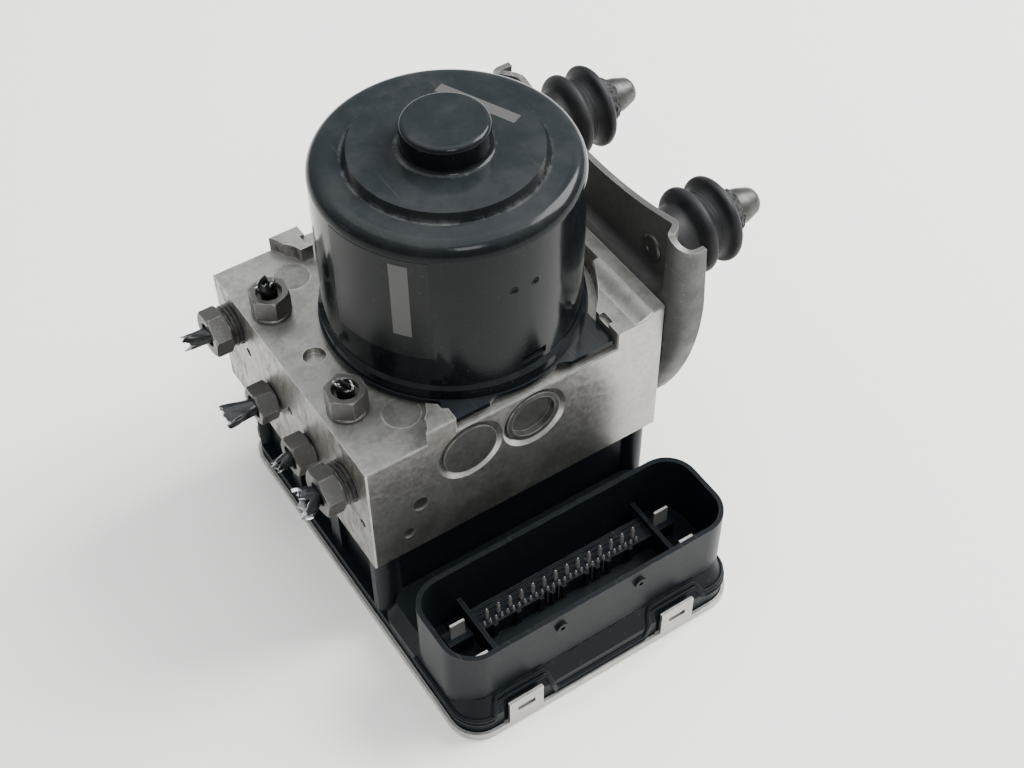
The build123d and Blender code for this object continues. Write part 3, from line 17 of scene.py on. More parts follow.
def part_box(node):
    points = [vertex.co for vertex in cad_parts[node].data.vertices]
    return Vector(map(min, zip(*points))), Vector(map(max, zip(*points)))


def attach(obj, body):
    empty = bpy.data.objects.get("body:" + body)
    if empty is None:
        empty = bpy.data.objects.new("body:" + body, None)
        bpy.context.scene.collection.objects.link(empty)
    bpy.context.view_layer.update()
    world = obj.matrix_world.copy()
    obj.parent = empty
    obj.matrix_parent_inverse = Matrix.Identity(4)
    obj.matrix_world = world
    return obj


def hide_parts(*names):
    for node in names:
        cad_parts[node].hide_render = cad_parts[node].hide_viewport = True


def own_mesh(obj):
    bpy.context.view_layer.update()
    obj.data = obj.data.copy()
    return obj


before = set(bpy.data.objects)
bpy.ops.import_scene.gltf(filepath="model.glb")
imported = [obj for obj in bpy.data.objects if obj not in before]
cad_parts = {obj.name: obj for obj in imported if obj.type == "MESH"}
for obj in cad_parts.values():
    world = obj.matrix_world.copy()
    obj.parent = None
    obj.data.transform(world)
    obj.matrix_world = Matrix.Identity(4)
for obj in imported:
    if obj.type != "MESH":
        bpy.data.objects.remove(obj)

log = logging.getLogger("brake_module")
MM = 0.001
Colour = tuple[float, float, float]
Point = tuple[float, float, float]
Socket = bpy.types.NodeSocket
Ring = Sequence[bmesh.types.BMVert]


# ------------------------------------------------------------------ node building
class Shading:
    """Short ways to place and join nodes in one tree."""

    def __init__(self, tree: bpy.types.NodeTree) -> None:
        """Keep the tree that nodes are added to."""
        self.tree = tree

    def node(self, kind: str, **values: object) -> bpy.types.Node:
        """Add a node and set its plain sockets.

        Args:
            kind: Blender's node type.
            values: socket name with underscores for spaces, and a value or an output to join.

        Returns:
            The new node.
        """
        made = self.tree.nodes.new(kind)
        for name, value in values.items():
            self.feed(made.inputs[name.replace("_", " ")], value)
        return made

    def feed(self, socket: Socket, value: object) -> None:
        """Join an output to a socket, or set the socket's own value.

        Args:
            socket: input socket.
            value: output socket, number, colour or vector.
        """
        if isinstance(value, bpy.types.NodeSocket):
            self.tree.links.new(value, socket)
        elif socket.type == "RGBA" and len(value) == 3:
            socket.default_value = (*value, 1.0)
        else:
            socket.default_value = value

    def math(self, operation: str, first: object, second: object = 0.5, clamp: bool = False) -> Socket:
        """Add a Math node.

        Args:
            operation: Blender's name of the operation.
            first: first value or socket.
            second: second value or socket.
            clamp: keep the result between 0 and 1.

        Returns:
            The result socket.
        """
        made = self.tree.nodes.new("ShaderNodeMath")
        made.operation = operation
        made.use_clamp = clamp
        self.feed(made.inputs[0], first)
        self.feed(made.inputs[1], second)
        return made.outputs[0]

    def times(self, first: object, second: object, clamp: bool = False) -> Socket:
        """Product of two values."""
        return self.math("MULTIPLY", first, second, clamp)

    def plus(self, first: object, second: object, clamp: bool = False) -> Socket:
        """Sum of two values."""
        return self.math("ADD", first, second, clamp)

    def minus(self, first: object, second: object, clamp: bool = False) -> Socket:
        """First value less the second."""
        return self.math("SUBTRACT", first, second, clamp)

    def blend(self, factor: object, first: object, second: object) -> Socket:
        """Mix two colours.

        Args:
            factor: share of the second colour.
            first: colour or socket.
            second: colour or socket.

        Returns:
            The mixed colour's socket.
        """
        made = self.tree.nodes.new("ShaderNodeMix")
        made.data_type = "RGBA"
        for index, value in ((0, factor), (6, first), (7, second)):
            self.feed(made.inputs[index], value)
        return made.outputs[2]

    def span(self, value: object, low: float, high: float, to_low: float = 0.0,
             to_high: float = 1.0) -> Socket:
        """Map a range of values to another, clamped.

        Args:
            value: value or socket.
            low: value that becomes to_low.
            high: value that becomes to_high.
            to_low: result at low.
            to_high: result at high.

        Returns:
            The mapped value's socket.
        """
        made = self.tree.nodes.new("ShaderNodeMapRange")
        made.interpolation_type = "SMOOTHSTEP"
        for socket, number in zip(made.inputs, (value, low, high, to_low, to_high)):
            self.feed(socket, number)
        return made.outputs[0]

    def noise(self, vector: object, scale: object, detail: float, rough: float) -> Socket:
        """Add a noise texture."""
        made = self.node("ShaderNodeTexNoise", Vector=vector, Scale=scale, Detail=detail, Roughness=rough)
        return made.outputs["Fac"]

    def place(self, stretch: Point = (1, 1, 1), turn: Point = (0, 0, 0), shift: Point = (0, 0, 0)) -> Socket:
        """Object coordinates, stretched, turned and shifted.

        Args:
            stretch: factor along each axis.
            turn: turns in degrees.
            shift: shift in metres.

        Returns:
            The vector socket.
        """
        source = self.node("ShaderNodeTexCoord").outputs["Object"]
        turned = tuple(math.radians(angle) for angle in turn)
        made = self.node("ShaderNodeMapping", Vector=source, Location=shift, Rotation=turned, Scale=stretch)
        return made.outputs[0]

    def cloud(self, grain: Sequence[float], edges: Sequence[float], stretch: Point = (1, 1, 1)) -> Socket:
        """Noise (features for each metre, octaves, share of each), mapped as span does."""
        return self.span(self.noise(self.place(stretch), *grain), *edges)

    def facing(self, axis: str) -> Socket:
        """One part of the surface's own direction."""
        normal = self.node("ShaderNodeNewGeometry").outputs["Normal"]
        return self.node("ShaderNodeSeparateXYZ", Vector=normal).outputs[axis]

    def effect(self, name: str, **values: float) -> Socket:
        """Place one of the shared effect groups.

        Args:
            name: the group's name.
            values: its inputs.

        Returns:
            The effect's result.
        """
        made = self.tree.nodes.new("ShaderNodeGroup")
        made.node_tree = bpy.data.node_groups[name]
        for key, value in values.items():
            self.feed(made.inputs[key], value)
        return made.outputs[0]


def start_tree(name: str, kind: str, inputs: Sequence[tuple[str, str, object]],
               outputs: Iterable[tuple[str, str]]) -> tuple[Shading, bpy.types.Node, bpy.types.Node]:
    """Start a node tree with named inputs and outputs.

    Args:
        name: the tree's name.
        kind: Blender's tree type.
        inputs: name, socket kind and usual value of each input.
        outputs: name and socket kind of each output.

    Returns:
        The tree's builder, its input node and its output node.
    """
    tree = bpy.data.node_groups.new(name, kind)
    for key, socket_kind, value in inputs:
        socket = tree.interface.new_socket(key, in_out="INPUT", socket_type=f"NodeSocket{socket_kind}")
        if value is not None:
            socket.default_value = value
    for key, socket_kind in outputs:
        tree.interface.new_socket(key, in_out="OUTPUT", socket_type=f"NodeSocket{socket_kind}")
    build = Shading(tree)
    return build, build.node("NodeGroupInput"), build.node("NodeGroupOutput")


def effect_group(name: str, output: str, **inputs: float) -> tuple[Shading, bpy.types.Node, bpy.types.Node]:
    """Start a shared effect group."""
    given = [(key, "Float", value) for key, value in inputs.items()]
    return start_tree(name, "ShaderNodeTree", given, [(output, "Float")])


class Effects:
    """Shader effects that several finishes use."""

    WEAR = "edge wear"
    SCRATCH = "scratches"
    DUST = "settled dust"
    BLOTCH = "blotches"
    GRAIN = "fine grain"

    BEVEL_SAMPLES = 4
    RUBBED_NOISE = (260.0, 5.0, 0.6)
    RUBBED_SPAN = (0.12, 0.42)
    STROKE_STRETCH = (900, 26, 900)
    STROKES = (((20, 35, 15), 0.0), ((-40, 10, -55), 0.3), ((75, -20, 100), 0.7))
    STROKE_NOISE = (1.0, 1.0, 0.4)
    STROKE_SPAN = (0.73, 0.80)
    UPWARD_SPAN = (0.1, 0.95)
    UPWARD_SHARE = 0.8
    DUST_NOISE = (8.0, 0.7)
    DUST_SPAN = (0.38, 0.72)
    STAIN_SHIFT = (0.13, 0.07, 0.02)
    STAIN_NOISE = (7.0, 0.62)
    STAIN_EDGE = 0.08
    STAIN_FADE = 0.2
    SPECK_NOISE = (3.0, 0.6)

    def build(self) -> None:
        """Build every effect group once."""
        self.wear()
        self.scratches()
        self.dust()
        self.blotches()
        self.grain()

    def wear(self) -> None:
        """Mask of edges where a rounded normal leaves the true one: rubbed wear, and in plated steel painted
        highlight as well.
        """
        build, given, result = effect_group(self.WEAR, "Mask", Width=0.6, Patchiness=0.5, Gain=6.0)
        rounded_edge = build.tree.nodes.new("ShaderNodeBevel")
        rounded_edge.samples = self.BEVEL_SAMPLES
        build.feed(rounded_edge.inputs["Radius"], build.times(given.outputs["Width"], MM))
        dot = build.tree.nodes.new("ShaderNodeVectorMath")
        dot.operation = "DOT_PRODUCT"
        build.feed(dot.inputs[0], rounded_edge.outputs[0])
        build.feed(dot.inputs[1], build.node("ShaderNodeNewGeometry").outputs["Normal"])
        bend = build.minus(1.0, dot.outputs["Value"], clamp=True)
        edge = build.times(bend, given.outputs["Gain"], clamp=True)
        patch = build.noise(build.place(), *self.RUBBED_NOISE)
        keep = build.minus(patch, build.times(given.outputs["Patchiness"], 0.5))
        build.feed(result.inputs["Mask"], build.times(edge, build.span(keep, *self.RUBBED_SPAN), clamp=True))

    def scratches(self) -> None:
        """Mask of fine scratches in three directions."""
        build, given, result = effect_group(self.SCRATCH, "Mask", Amount=0.5, Scale=1.0)
        every: object = 0.0
        for turn, shift in self.STROKES:
            scaled = build.tree.nodes.new("ShaderNodeVectorMath")
            scaled.operation = "SCALE"
            build.feed(scaled.inputs[0], build.place(self.STROKE_STRETCH, turn, (shift, shift, shift)))
            build.feed(scaled.inputs["Scale"], given.outputs["Scale"])
            stroke = build.span(build.noise(scaled.outputs[0], *self.STROKE_NOISE), *self.STROKE_SPAN)
            every = build.math("MAXIMUM", every, stroke)
        build.feed(result.inputs["Mask"], build.times(every, given.outputs["Amount"], clamp=True))

    def dust(self) -> None:
        """Mask of dust that settles on faces that look up."""
        build, given, result = effect_group(self.DUST, "Mask", Amount=0.4, Scale=90.0)
        upward = build.span(build.facing("Z"), *self.UPWARD_SPAN)
        cloud = build.cloud((given.outputs["Scale"], *self.DUST_NOISE), self.DUST_SPAN)
        bed = build.plus(build.times(upward, self.UPWARD_SHARE), 1.0 - self.UPWARD_SHARE)
        lying = build.times(bed, cloud)
        build.feed(result.inputs["Mask"], build.times(lying, given.outputs["Amount"], clamp=True))

    def blotches(self) -> None:
        """Mask of soft stains."""
        build, given, result = effect_group(self.BLOTCH, "Mask", Amount=0.5, Scale=30.0, Cut=0.5)
        cloud = build.noise(build.place(shift=self.STAIN_SHIFT), given.outputs["Scale"], *self.STAIN_NOISE)
        low = build.minus(given.outputs["Cut"], self.STAIN_EDGE)
        over = build.math("DIVIDE", build.minus(cloud, low), self.STAIN_FADE, clamp=True)
        build.feed(result.inputs["Mask"], build.times(over, given.outputs["Amount"], clamp=True))

    def grain(self) -> None:
        """Fine even grain, as a value round one half."""
        build, given, result = effect_group(self.GRAIN, "Value", Scale=1500.0)
        speck = build.noise(build.place(), given.outputs["Scale"], *self.SPECK_NOISE)
        build.feed(result.inputs["Value"], speck)


# ------------------------------------------------------------------ finishes
@dataclass(frozen=True)
class Finish:
    """One surface finish with the few values that set it apart."""

    name: str
    colour: Colour
    rough: float = 0.5
    metal: float = 0.0
    specular: float = 0.5
    grain_mm: float = 0.02

    def build(self) -> bpy.types.Material:
        """Make the material.

        Returns:
            The finished material.
        """
        material = bpy.data.materials.new(self.name)
        material.use_nodes = True
        material.node_tree.nodes.clear()
        build = Shading(material.node_tree)
        shader = build.node("ShaderNodeBsdfPrincipled", Roughness=self.rough, Metallic=self.metal,
                            Base_Color=self.colour, Specular_IOR_Level=self.specular)
        output = build.node("ShaderNodeOutputMaterial")
        build.feed(output.inputs["Surface"], shader.outputs[0])
        self.dress(build, shader)
        return material

    def dress(self, build: Shading, shader: bpy.types.Node) -> None:
        """Give the shader its surface variation."""
        self.bump(build, shader, build.effect(Effects.GRAIN, Scale=1300.0), self.grain_mm)

    def tint(self, share: float) -> Colour:
        """The finish's colour, darkened to a share."""
        return tuple(part * share for part in self.colour)

    def bump(self, build: Shading, shader: bpy.types.Node, height: object, depth_mm: float) -> None:
        """Join a height to the shader's normal."""
        relief = build.node("ShaderNodeBump", Height=height, Distance=depth_mm * MM, Strength=1.0)
        build.feed(shader.inputs["Normal"], relief.outputs[0])


@dataclass(frozen=True)
class MilledAluminium(Finish):
    """Machined aluminium with cutter lines, stains, bright edges and painted shade on upward faces."""

    stain: Colour = (0.070, 0.058, 0.043)
    rubbed: Colour = (0.62, 0.61, 0.59)
    stain_share: float = 0.35
    stain_gain: float = 0.4
    cutter_pitch_mm: float = 0.45
    side_stain: float = 0.0
    level_rough: float = 0.13
    # painted shade: share and darkness of the darker copy of the colour that upward faces take
    painted_top_shade: float = 0.48
    painted_top_tint: float = 0.50
    # painted shade in patches on upward faces: share and darkness
    painted_patch_shade: float = 0.55
    painted_patch_tint: float = 0.36
    mottle_share: float = 0.6
    mottle_tint: float = 0.72
    mottle_rough: float = 0.07
    scratch_tint: float = 0.55
    scratch_depth: float = 0.8
    dirt_rough: float = 0.14
    dirt_dull: float = 0.2
    side_dull: float = 0.5
    relief_mm: float = 0.006

    ALONG = (30, 30)
    ACROSS = (40, 60)
    LINE_NOISE = (1.0, 3.0, 0.6)
    MOTTLE = ((650.0, 8.0, 0.75), (0.38, 0.62))
    # cloud of the patches of painted shade on upward faces
    FILM = ((150.0, 9.0, 0.75), (0.44, 0.62))
    SIDE_FINE = ((300.0, 9.0, 0.8), (0.43, 0.57), (1.0, 1.0, 0.35))
    SIDE_BROAD = ((70.0, 5.0, 0.6), (0.38, 0.62, 0.30, 1.0))
    SIDE_EVEN = 0.22
    LEVEL_SPAN = (0.7, 0.95)
    LEFT_SPAN = (0.6, 0.9)

    def dress(self, build: Shading, shader: bpy.types.Node) -> None:
        """Cutter lines, brown stains, rubbed edges and painted shade, even and in patches, on upward faces.

        Args:
            build: the material's node builder.
            shader: the Principled shader.
        """
        lines_per_metre = 1 / self.cutter_pitch_mm / MM
        lines = build.noise(build.place((lines_per_metre, *self.ALONG)), *self.LINE_NOISE)
        cross = build.noise(build.place((*self.ACROSS, lines_per_metre)), *self.LINE_NOISE)
        brushed = build.plus(build.times(lines, 0.5), build.times(cross, 0.5))
        mottle = build.cloud(*self.MOTTLE)
        level = build.span(build.facing("Z"), *self.LEVEL_SPAN)
        dirt = build.effect(Effects.BLOTCH, Amount=self.stain_share * self.stain_gain, Scale=85.0, Cut=0.54)
        if self.side_stain > 0.0:
            dirt = self.left_side(build, dirt)
        scratch = build.effect(Effects.SCRATCH, Amount=0.25, Scale=1.0)
        fine = build.times(brushed, 1.0 - self.mottle_share)
        mixed = build.plus(build.times(mottle, self.mottle_share), fine)
        tone = build.blend(mixed, self.tint(self.mottle_tint), self.colour)
        # painted shade: upward faces darkened evenly
        tone = build.blend(build.times(level, self.painted_top_shade), tone, self.tint(self.painted_top_tint))
        # painted shade in patches on upward faces
        film = build.times(build.times(build.cloud(*self.FILM), level), self.painted_patch_shade)
        tone = build.blend(film, tone, self.tint(self.painted_patch_tint))
        tone = build.blend(dirt, tone, self.stain)
        tone = build.blend(scratch, tone, self.tint(self.scratch_tint))
        edge = build.effect(Effects.WEAR, Width=0.5, Patchiness=0.3, Gain=5.0)
        build.feed(shader.inputs["Base Color"], build.blend(edge, tone, self.rubbed))
        gloss = build.plus(build.times(mottle, self.mottle_rough), self.rough - self.mottle_rough / 2)
        gloss = build.plus(gloss, build.times(level, self.level_rough))
        gloss = build.plus(gloss, build.times(dirt, self.dirt_rough), clamp=True)
        build.feed(shader.inputs["Roughness"], gloss)
        dull = build.times(dirt, self.side_dull if self.side_stain else self.dirt_dull)
        dull = build.plus(dull, build.times(level, self.level_rough))
        build.feed(shader.inputs["Metallic"], build.minus(self.metal, dull, clamp=True))
        height = build.minus(brushed, build.times(scratch, self.scratch_depth))
        self.bump(build, shader, height, self.relief_mm)

    def left_side(self, build: Shading, stains: object) -> Socket:
        """Heavier staining on the face that holds the side ports.

        Args:
            build: the material's node builder.
            stains: the usual stain mask.

        Returns:
            The combined mask.
        """
        side = build.span(build.times(build.facing("X"), -1.0), *self.LEFT_SPAN)
        spots = build.times(build.cloud(*self.SIDE_FINE), build.cloud(*self.SIDE_BROAD))
        heavy = build.plus(spots, self.SIDE_EVEN, clamp=True)
        return build.math("MAXIMUM", stains, build.times(build.times(side, heavy), self.side_stain))


@dataclass(frozen=True)
class BlackLacquer(Finish):
    """Semi-gloss black coating with dust, scuffs, thin worn edges and painted light on upward faces."""

    scuff: float = 0.22
    worn: Colour = (0.05, 0.046, 0.04)
    film: float = 0.12
    # painted light: the lighter tone that upward faces take in place of the base colour
    settled: Colour = (0.0115, 0.0145, 0.0165)
    dust_colour: Colour = (0.09, 0.09, 0.088)
    ring_dust: Colour = (0.085, 0.088, 0.088)
    scuffed: Colour = (0.10, 0.10, 0.097)
    dusty_radii: tuple[float, ...] = ()
    cloud_rough: float = 0.12
    dust_rough: float = 0.5
    relief_mm: float = 0.01

    LEVEL_SPAN = (0.5, 0.95)
    GLOSS_NOISE = (45.0, 6.0, 0.65)
    PEEL_NOISE = (700.0, 3.0, 0.5)
    RING_SPAN_MM = (0.9, 0.1)
    RING_BREAKS = ((160.0, 8.0, 0.7), (0.42, 0.68, 0.0, 0.75))
    CROWN_SPAN = (0.134, 0.137)

    def dress(self, build: Shading, shader: bpy.types.Node) -> None:
        """Painted light on upward faces, dust film, scuffs and worn rims.

        Args:
            build: the material's node builder.
            shader: the Principled shader.
        """
        dust = build.effect(Effects.DUST, Amount=self.film, Scale=70.0)
        scratch = build.effect(Effects.SCRATCH, Amount=self.scuff, Scale=0.8)
        edge = build.effect(Effects.WEAR, Width=0.5, Patchiness=0.8, Gain=4.0)
        # painted light: upward faces lighter
        tone = build.blend(build.span(build.facing("Z"), *self.LEVEL_SPAN), self.colour, self.settled)
        tone = build.blend(dust, tone, self.dust_colour)
        for radius in self.dusty_radii:
            tone = build.blend(self.ring(build, radius), tone, self.ring_dust)
        tone = build.blend(scratch, tone, self.scuffed)
        build.feed(shader.inputs["Base Color"], build.blend(build.times(edge, 0.5), tone, self.worn))
        cloud = build.noise(build.place(), *self.GLOSS_NOISE)
        gloss = build.plus(build.times(cloud, self.cloud_rough), self.rough - self.cloud_rough / 2)
        gloss = build.plus(gloss, build.times(dust, self.dust_rough), clamp=True)
        build.feed(shader.inputs["Roughness"], gloss)
        peel = build.noise(build.place(), *self.PEEL_NOISE)
        self.bump(build, shader, build.minus(peel, scratch), self.relief_mm)

    def ring(self, build: Shading, radius: float) -> Socket:
        """Dust that gathers in a thin broken ring about the motor axis.

        Args:
            build: the material's node builder.
            radius: radius of the ring in millimetres.

        Returns:
            The ring's mask.
        """
        spot = build.node("ShaderNodeSeparateXYZ", Vector=build.place())
        x, y, z = spot.outputs
        square = build.plus(build.times(x, x), build.times(y, y))
        away = build.minus(build.math("SQRT", square), radius * MM)
        band = build.span(build.math("ABSOLUTE", away), *(reach * MM for reach in self.RING_SPAN_MM))
        broken = build.cloud(*self.RING_BREAKS)
        return build.times(build.times(band, broken), build.span(z, *self.CROWN_SPAN))


@dataclass(frozen=True)
class PlatedSteel(Finish):
    """Zinc-plated or plain steel: grey cloud, fine speckle, and bright edges that are rubbed wear and painted
    highlight.
    """

    dark: Colour = (0.22, 0.21, 0.19)
    # colour of scratches and of bright edges; on edges it is rubbed wear and painted highlight
    bright: Colour = (0.75, 0.74, 0.72)
    patch: float = 0.5
    wear_mm: float = 0.35
    cloud_rough: float = 0.25
    relief_mm: float = 0.015

    SPECK_SPAN = (0.60, 0.75)

    def dress(self, build: Shading, shader: bpy.types.Node) -> None:
        """Cloudy plating with dark specks and bright edges.

        Args:
            build: the material's node builder.
            shader: the Principled shader.
        """
        cloud = build.effect(Effects.BLOTCH, Amount=self.patch, Scale=120.0, Cut=0.47)
        speck = build.effect(Effects.GRAIN, Scale=1700.0)
        scratch = build.effect(Effects.SCRATCH, Amount=0.28, Scale=1.3)
        edge = build.effect(Effects.WEAR, Width=self.wear_mm, Patchiness=0.4, Gain=5.0)
        tone = build.blend(cloud, self.colour, self.dark)
        tone = build.blend(build.span(speck, *self.SPECK_SPAN), tone, self.dark)
        tone = build.blend(scratch, tone, self.bright)
        # bright edges: rubbed wear and painted highlight, as on the dark thread's crests
        build.feed(shader.inputs["Base Color"], build.blend(edge, tone, self.bright))
        gloss = build.plus(self.rough, build.times(cloud, self.cloud_rough), clamp=True)
        build.feed(shader.inputs["Roughness"], gloss)
        self.bump(build, shader, speck, self.relief_mm)


@dataclass(frozen=True)
class MouldedPlastic(Finish):
    """Glass-filled black plastic with a dusty film."""

    dust: float = 0.30
    dust_colour: Colour = (0.13, 0.13, 0.125)
    scratched: Colour = (0.05, 0.05, 0.05)
    rubbed: Colour = (0.07, 0.07, 0.07)
    grain_rough: float = 0.2
    dust_rough: float = 0.3

    def dress(self, build: Shading, shader: bpy.types.Node) -> None:
        """Matte grain, dust and slightly rubbed edges.

        Args:
            build: the material's node builder.
            shader: the Principled shader.
        """
        film = build.effect(Effects.DUST, Amount=self.dust, Scale=60.0)
        scratch = build.effect(Effects.SCRATCH, Amount=0.3, Scale=0.7)
        edge = build.effect(Effects.WEAR, Width=0.4, Patchiness=0.5, Gain=4.0)
        tone = build.blend(film, self.colour, self.dust_colour)
        tone = build.blend(scratch, tone, self.scratched)
        build.feed(shader.inputs["Base Color"], build.blend(build.times(edge, 0.5), tone, self.rubbed))
        grain = build.effect(Effects.GRAIN, Scale=2200.0)
        gloss = build.plus(build.times(grain, self.grain_rough), self.rough - self.grain_rough / 2)
        gloss = build.plus(gloss, build.times(film, self.dust_rough), clamp=True)
        build.feed(shader.inputs["Roughness"], gloss)
        self.bump(build, shader, grain, self.grain_mm)


@dataclass(frozen=True)
class Rubber(Finish):
    """Dark rubber with bloom and a mould texture."""

    bloom: Colour = (0.024, 0.024, 0.0245)
    cloud_rough: float = 0.15
    relief_mm: float = 0.03

    def dress(self, build: Shading, shader: bpy.types.Node) -> None:
        """Grey bloom and fine texture.

        Args:
            build: the material's node builder.
            shader: the Principled shader.
        """
        cloud = build.effect(Effects.BLOTCH, Amount=0.6, Scale=90.0, Cut=0.5)
        film = build.effect(Effects.DUST, Amount=0.4, Scale=160.0)
        tone = build.blend(build.math("MAXIMUM", cloud, film), self.colour, self.bloom)
        build.feed(shader.inputs["Base Color"], tone)
        gloss = build.plus(self.rough, build.times(cloud, self.cloud_rough), clamp=True)
        build.feed(shader.inputs["Roughness"], gloss)
        self.bump(build, shader, build.effect(Effects.GRAIN, Scale=1100.0), self.relief_mm)


class Look(Enum):
    """Every finish on the module."""

    BLOCK = MilledAluminium("machined block", (0.405, 0.40, 0.372), 0.31, 0.95, stain_share=0.30,
                            side_stain=0.95)
    CAP = MilledAluminium("turned cap", (0.155, 0.158, 0.15), 0.34, 0.9, stain_share=0.45)
    PLUG = MilledAluminium("staked plug", (0.30, 0.305, 0.285), 0.36, 0.90, stain_share=0.6)
    PLATE = MilledAluminium("cover plate", (0.44, 0.435, 0.42), 0.36, 0.9, stain_share=0.35)
    CAN = BlackLacquer("black motor can", (0.0032, 0.0046, 0.0054), 0.13, specular=0.115, scuff=0.08,
                       dusty_radii=(28.4, 13.6))
    FILM = BlackLacquer("satin film", (0.0048, 0.0055, 0.006), 0.34, specular=0.14, scuff=0.15, film=0.15)
    STRIP = MouldedPlastic("grey strip", (0.055, 0.055, 0.053), 0.45, specular=0.3, dust=0.4,
                           dust_colour=(0.06, 0.06, 0.058))
    PIPE = BlackLacquer("black coated pipe", (0.0035, 0.0035, 0.004), 0.22, specular=0.3,
                        worn=(0.30, 0.30, 0.30))
    NUT = PlatedSteel("grey pipe nut", (0.115, 0.112, 0.105), 0.36, 0.8, dark=(0.05, 0.048, 0.044),
                      bright=(0.42, 0.41, 0.39))
    # its bright edge colour paints the highlights on the thread crests
    DARK_THREAD = PlatedSteel("dark thread", (0.030, 0.029, 0.027), 0.42, 0.7, dark=(0.02, 0.019, 0.018),
                              bright=(0.22, 0.215, 0.205))
    TORN = PlatedSteel("torn steel", (0.36, 0.365, 0.37), 0.26, 0.95, dark=(0.03, 0.03, 0.03),
                       bright=(0.65, 0.65, 0.64))
    BRACKET = PlatedSteel("pressed sheet steel", (0.098, 0.098, 0.094), 0.44, 0.6, dark=(0.075, 0.074, 0.07),
                          bright=(0.40, 0.40, 0.39), patch=0.7)
    TURNED = PlatedSteel("turned steel", (0.38, 0.38, 0.37), 0.28, 1.0, bright=(0.6, 0.6, 0.59), patch=0.2)
    TIP = PlatedSteel("stud tip", (0.066, 0.067, 0.064), 0.34, 0.85, dark=(0.06, 0.06, 0.056),
                      bright=(0.33, 0.33, 0.32), patch=0.6)
    WIRE = PlatedSteel("spring wire", (0.28, 0.28, 0.27), 0.32, 1.0, patch=0.2)
    STACK = PlatedSteel("lamination stack", (0.18, 0.18, 0.18), 0.45, 0.9)
    CONTACT = PlatedSteel("tinned contact", (0.50, 0.49, 0.46), 0.28, 0.75, bright=(0.7, 0.69, 0.66),
                          patch=0.15)
    COPPER = PlatedSteel("bare copper", (0.48, 0.20, 0.10), 0.32, 1.0, dark=(0.20, 0.08, 0.04), patch=0.4)
    HOUSING = MouldedPlastic("black housing", (0.0045, 0.0066, 0.0082), 0.34, specular=0.09, dust=0.035,
                             dust_colour=(0.05, 0.052, 0.05))
    CHIP = MouldedPlastic("chip resin", (0.012, 0.012, 0.013), 0.45)
    CARBON = MouldedPlastic("brush carbon", (0.02, 0.02, 0.02), 0.55)
    FERRITE = MouldedPlastic("ferrite", (0.035, 0.035, 0.038), 0.50)
    BOARD = MouldedPlastic("circuit board", (0.014, 0.08, 0.035), 0.35, dust_colour=(0.07, 0.12, 0.08))
    RUBBER = Rubber("mount rubber", (0.0068, 0.0068, 0.0075), 0.5, specular=0.22)
    SEAL = Rubber("seal rubber", (0.01, 0.01, 0.01), 0.5)


NODE_LOOKS: dict[str, Look] = {
    "valve_block": Look.BLOCK, "motor_can": Look.CAN, "motor_end_plate": Look.NUT, "motor_seal": Look.SEAL,
    "motor_magnets": Look.FERRITE, "rotor_shaft": Look.TURNED, "armature_core": Look.STACK,
    "armature_windings": Look.COPPER, "commutator": Look.COPPER, "eccentric_bearing": Look.TURNED,
    "rear_bearing": Look.TURNED, "drive_end_bearing": Look.TURNED, "tail_bearing": Look.TURNED,
    "brush_holder": Look.HOUSING, "carbon_brushes": Look.CARBON, "brush_springs": Look.WIRE,
    "front_pump_barrel": Look.TURNED, "front_pump_piston": Look.TURNED, "front_pump_spring": Look.WIRE,
    "front_pump_cap": Look.CAP, "rear_pump_barrel": Look.TURNED, "rear_pump_piston": Look.TURNED,
    "rear_pump_spring": Look.WIRE, "rear_pump_cap": Look.CAP, "damper_caps": Look.CAP,
    "left_accumulator_piston": Look.CAP, "left_accumulator_spring": Look.WIRE,
    "right_accumulator_piston": Look.CAP, "right_accumulator_spring": Look.WIRE,
    "accumulator_caps": Look.BRACKET, "valve_cartridges": Look.TURNED, "valve_coils": Look.HOUSING,
    "coil_terminals": Look.CONTACT, "pressure_sensor": Look.TURNED, "circuit_board": Look.BOARD,
    "board_components": Look.CHIP, "ecu_housing": Look.HOUSING, "signal_pins": Look.CONTACT,
    "power_blades": Look.CONTACT, "ecu_cover_plate": Look.PLATE, "block_seal": Look.SEAL,
    "unit_screws": Look.NUT, "bench_plugs": Look.PLUG, "drilling_plugs": Look.DARK_THREAD,
    "side_pipe_nuts_large": Look.NUT, "side_pipe_nuts_small": Look.NUT, "top_pipe_nuts": Look.NUT,
    "side_pipe_stub_rear": Look.PIPE, "side_pipe_stub_upper_middle": Look.PIPE,
    "side_pipe_stub_lower_middle": Look.PIPE, "side_pipe_stub_front": Look.PIPE,
    "top_pipe_stub_front": Look.PIPE, "top_pipe_stub_rear": Look.PIPE,
    "mounting_bracket": Look.BRACKET, "bracket_screws": Look.NUT, "rubber_mount_front": Look.RUBBER,
    "rubber_mount_rear": Look.RUBBER, "mount_stud_front": Look.TIP, "mount_stud_rear": Look.TIP,
}


class Wardrobe:
    """Holds each finish's material, built on first use."""

    def __init__(self) -> None:
        """Start with no material."""
        self.made: dict[Look, bpy.types.Material] = {}

    def material(self, look: Look) -> bpy.types.Material:
        """Return the material of a finish.

        Args:
            look: the finish.

        Returns:
            Its material.
        """
        if look not in self.made:
            self.made[look] = look.value.build()
        return self.made[look]

    def dress_nodes(self) -> None:
        """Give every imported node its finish."""
        for name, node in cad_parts.items():
            node.data.materials.clear()
            node.data.materials.append(self.material(NODE_LOOKS[name]))
            for face in node.data.polygons:
                face.material_index = 0


# ------------------------------------------------------------------ mesh building
def polar(radius: float, angle: float, height: float) -> Vector:
    """Place at a radius, an angle and a height."""
    return Vector((radius * math.cos(angle), radius * math.sin(angle), height))


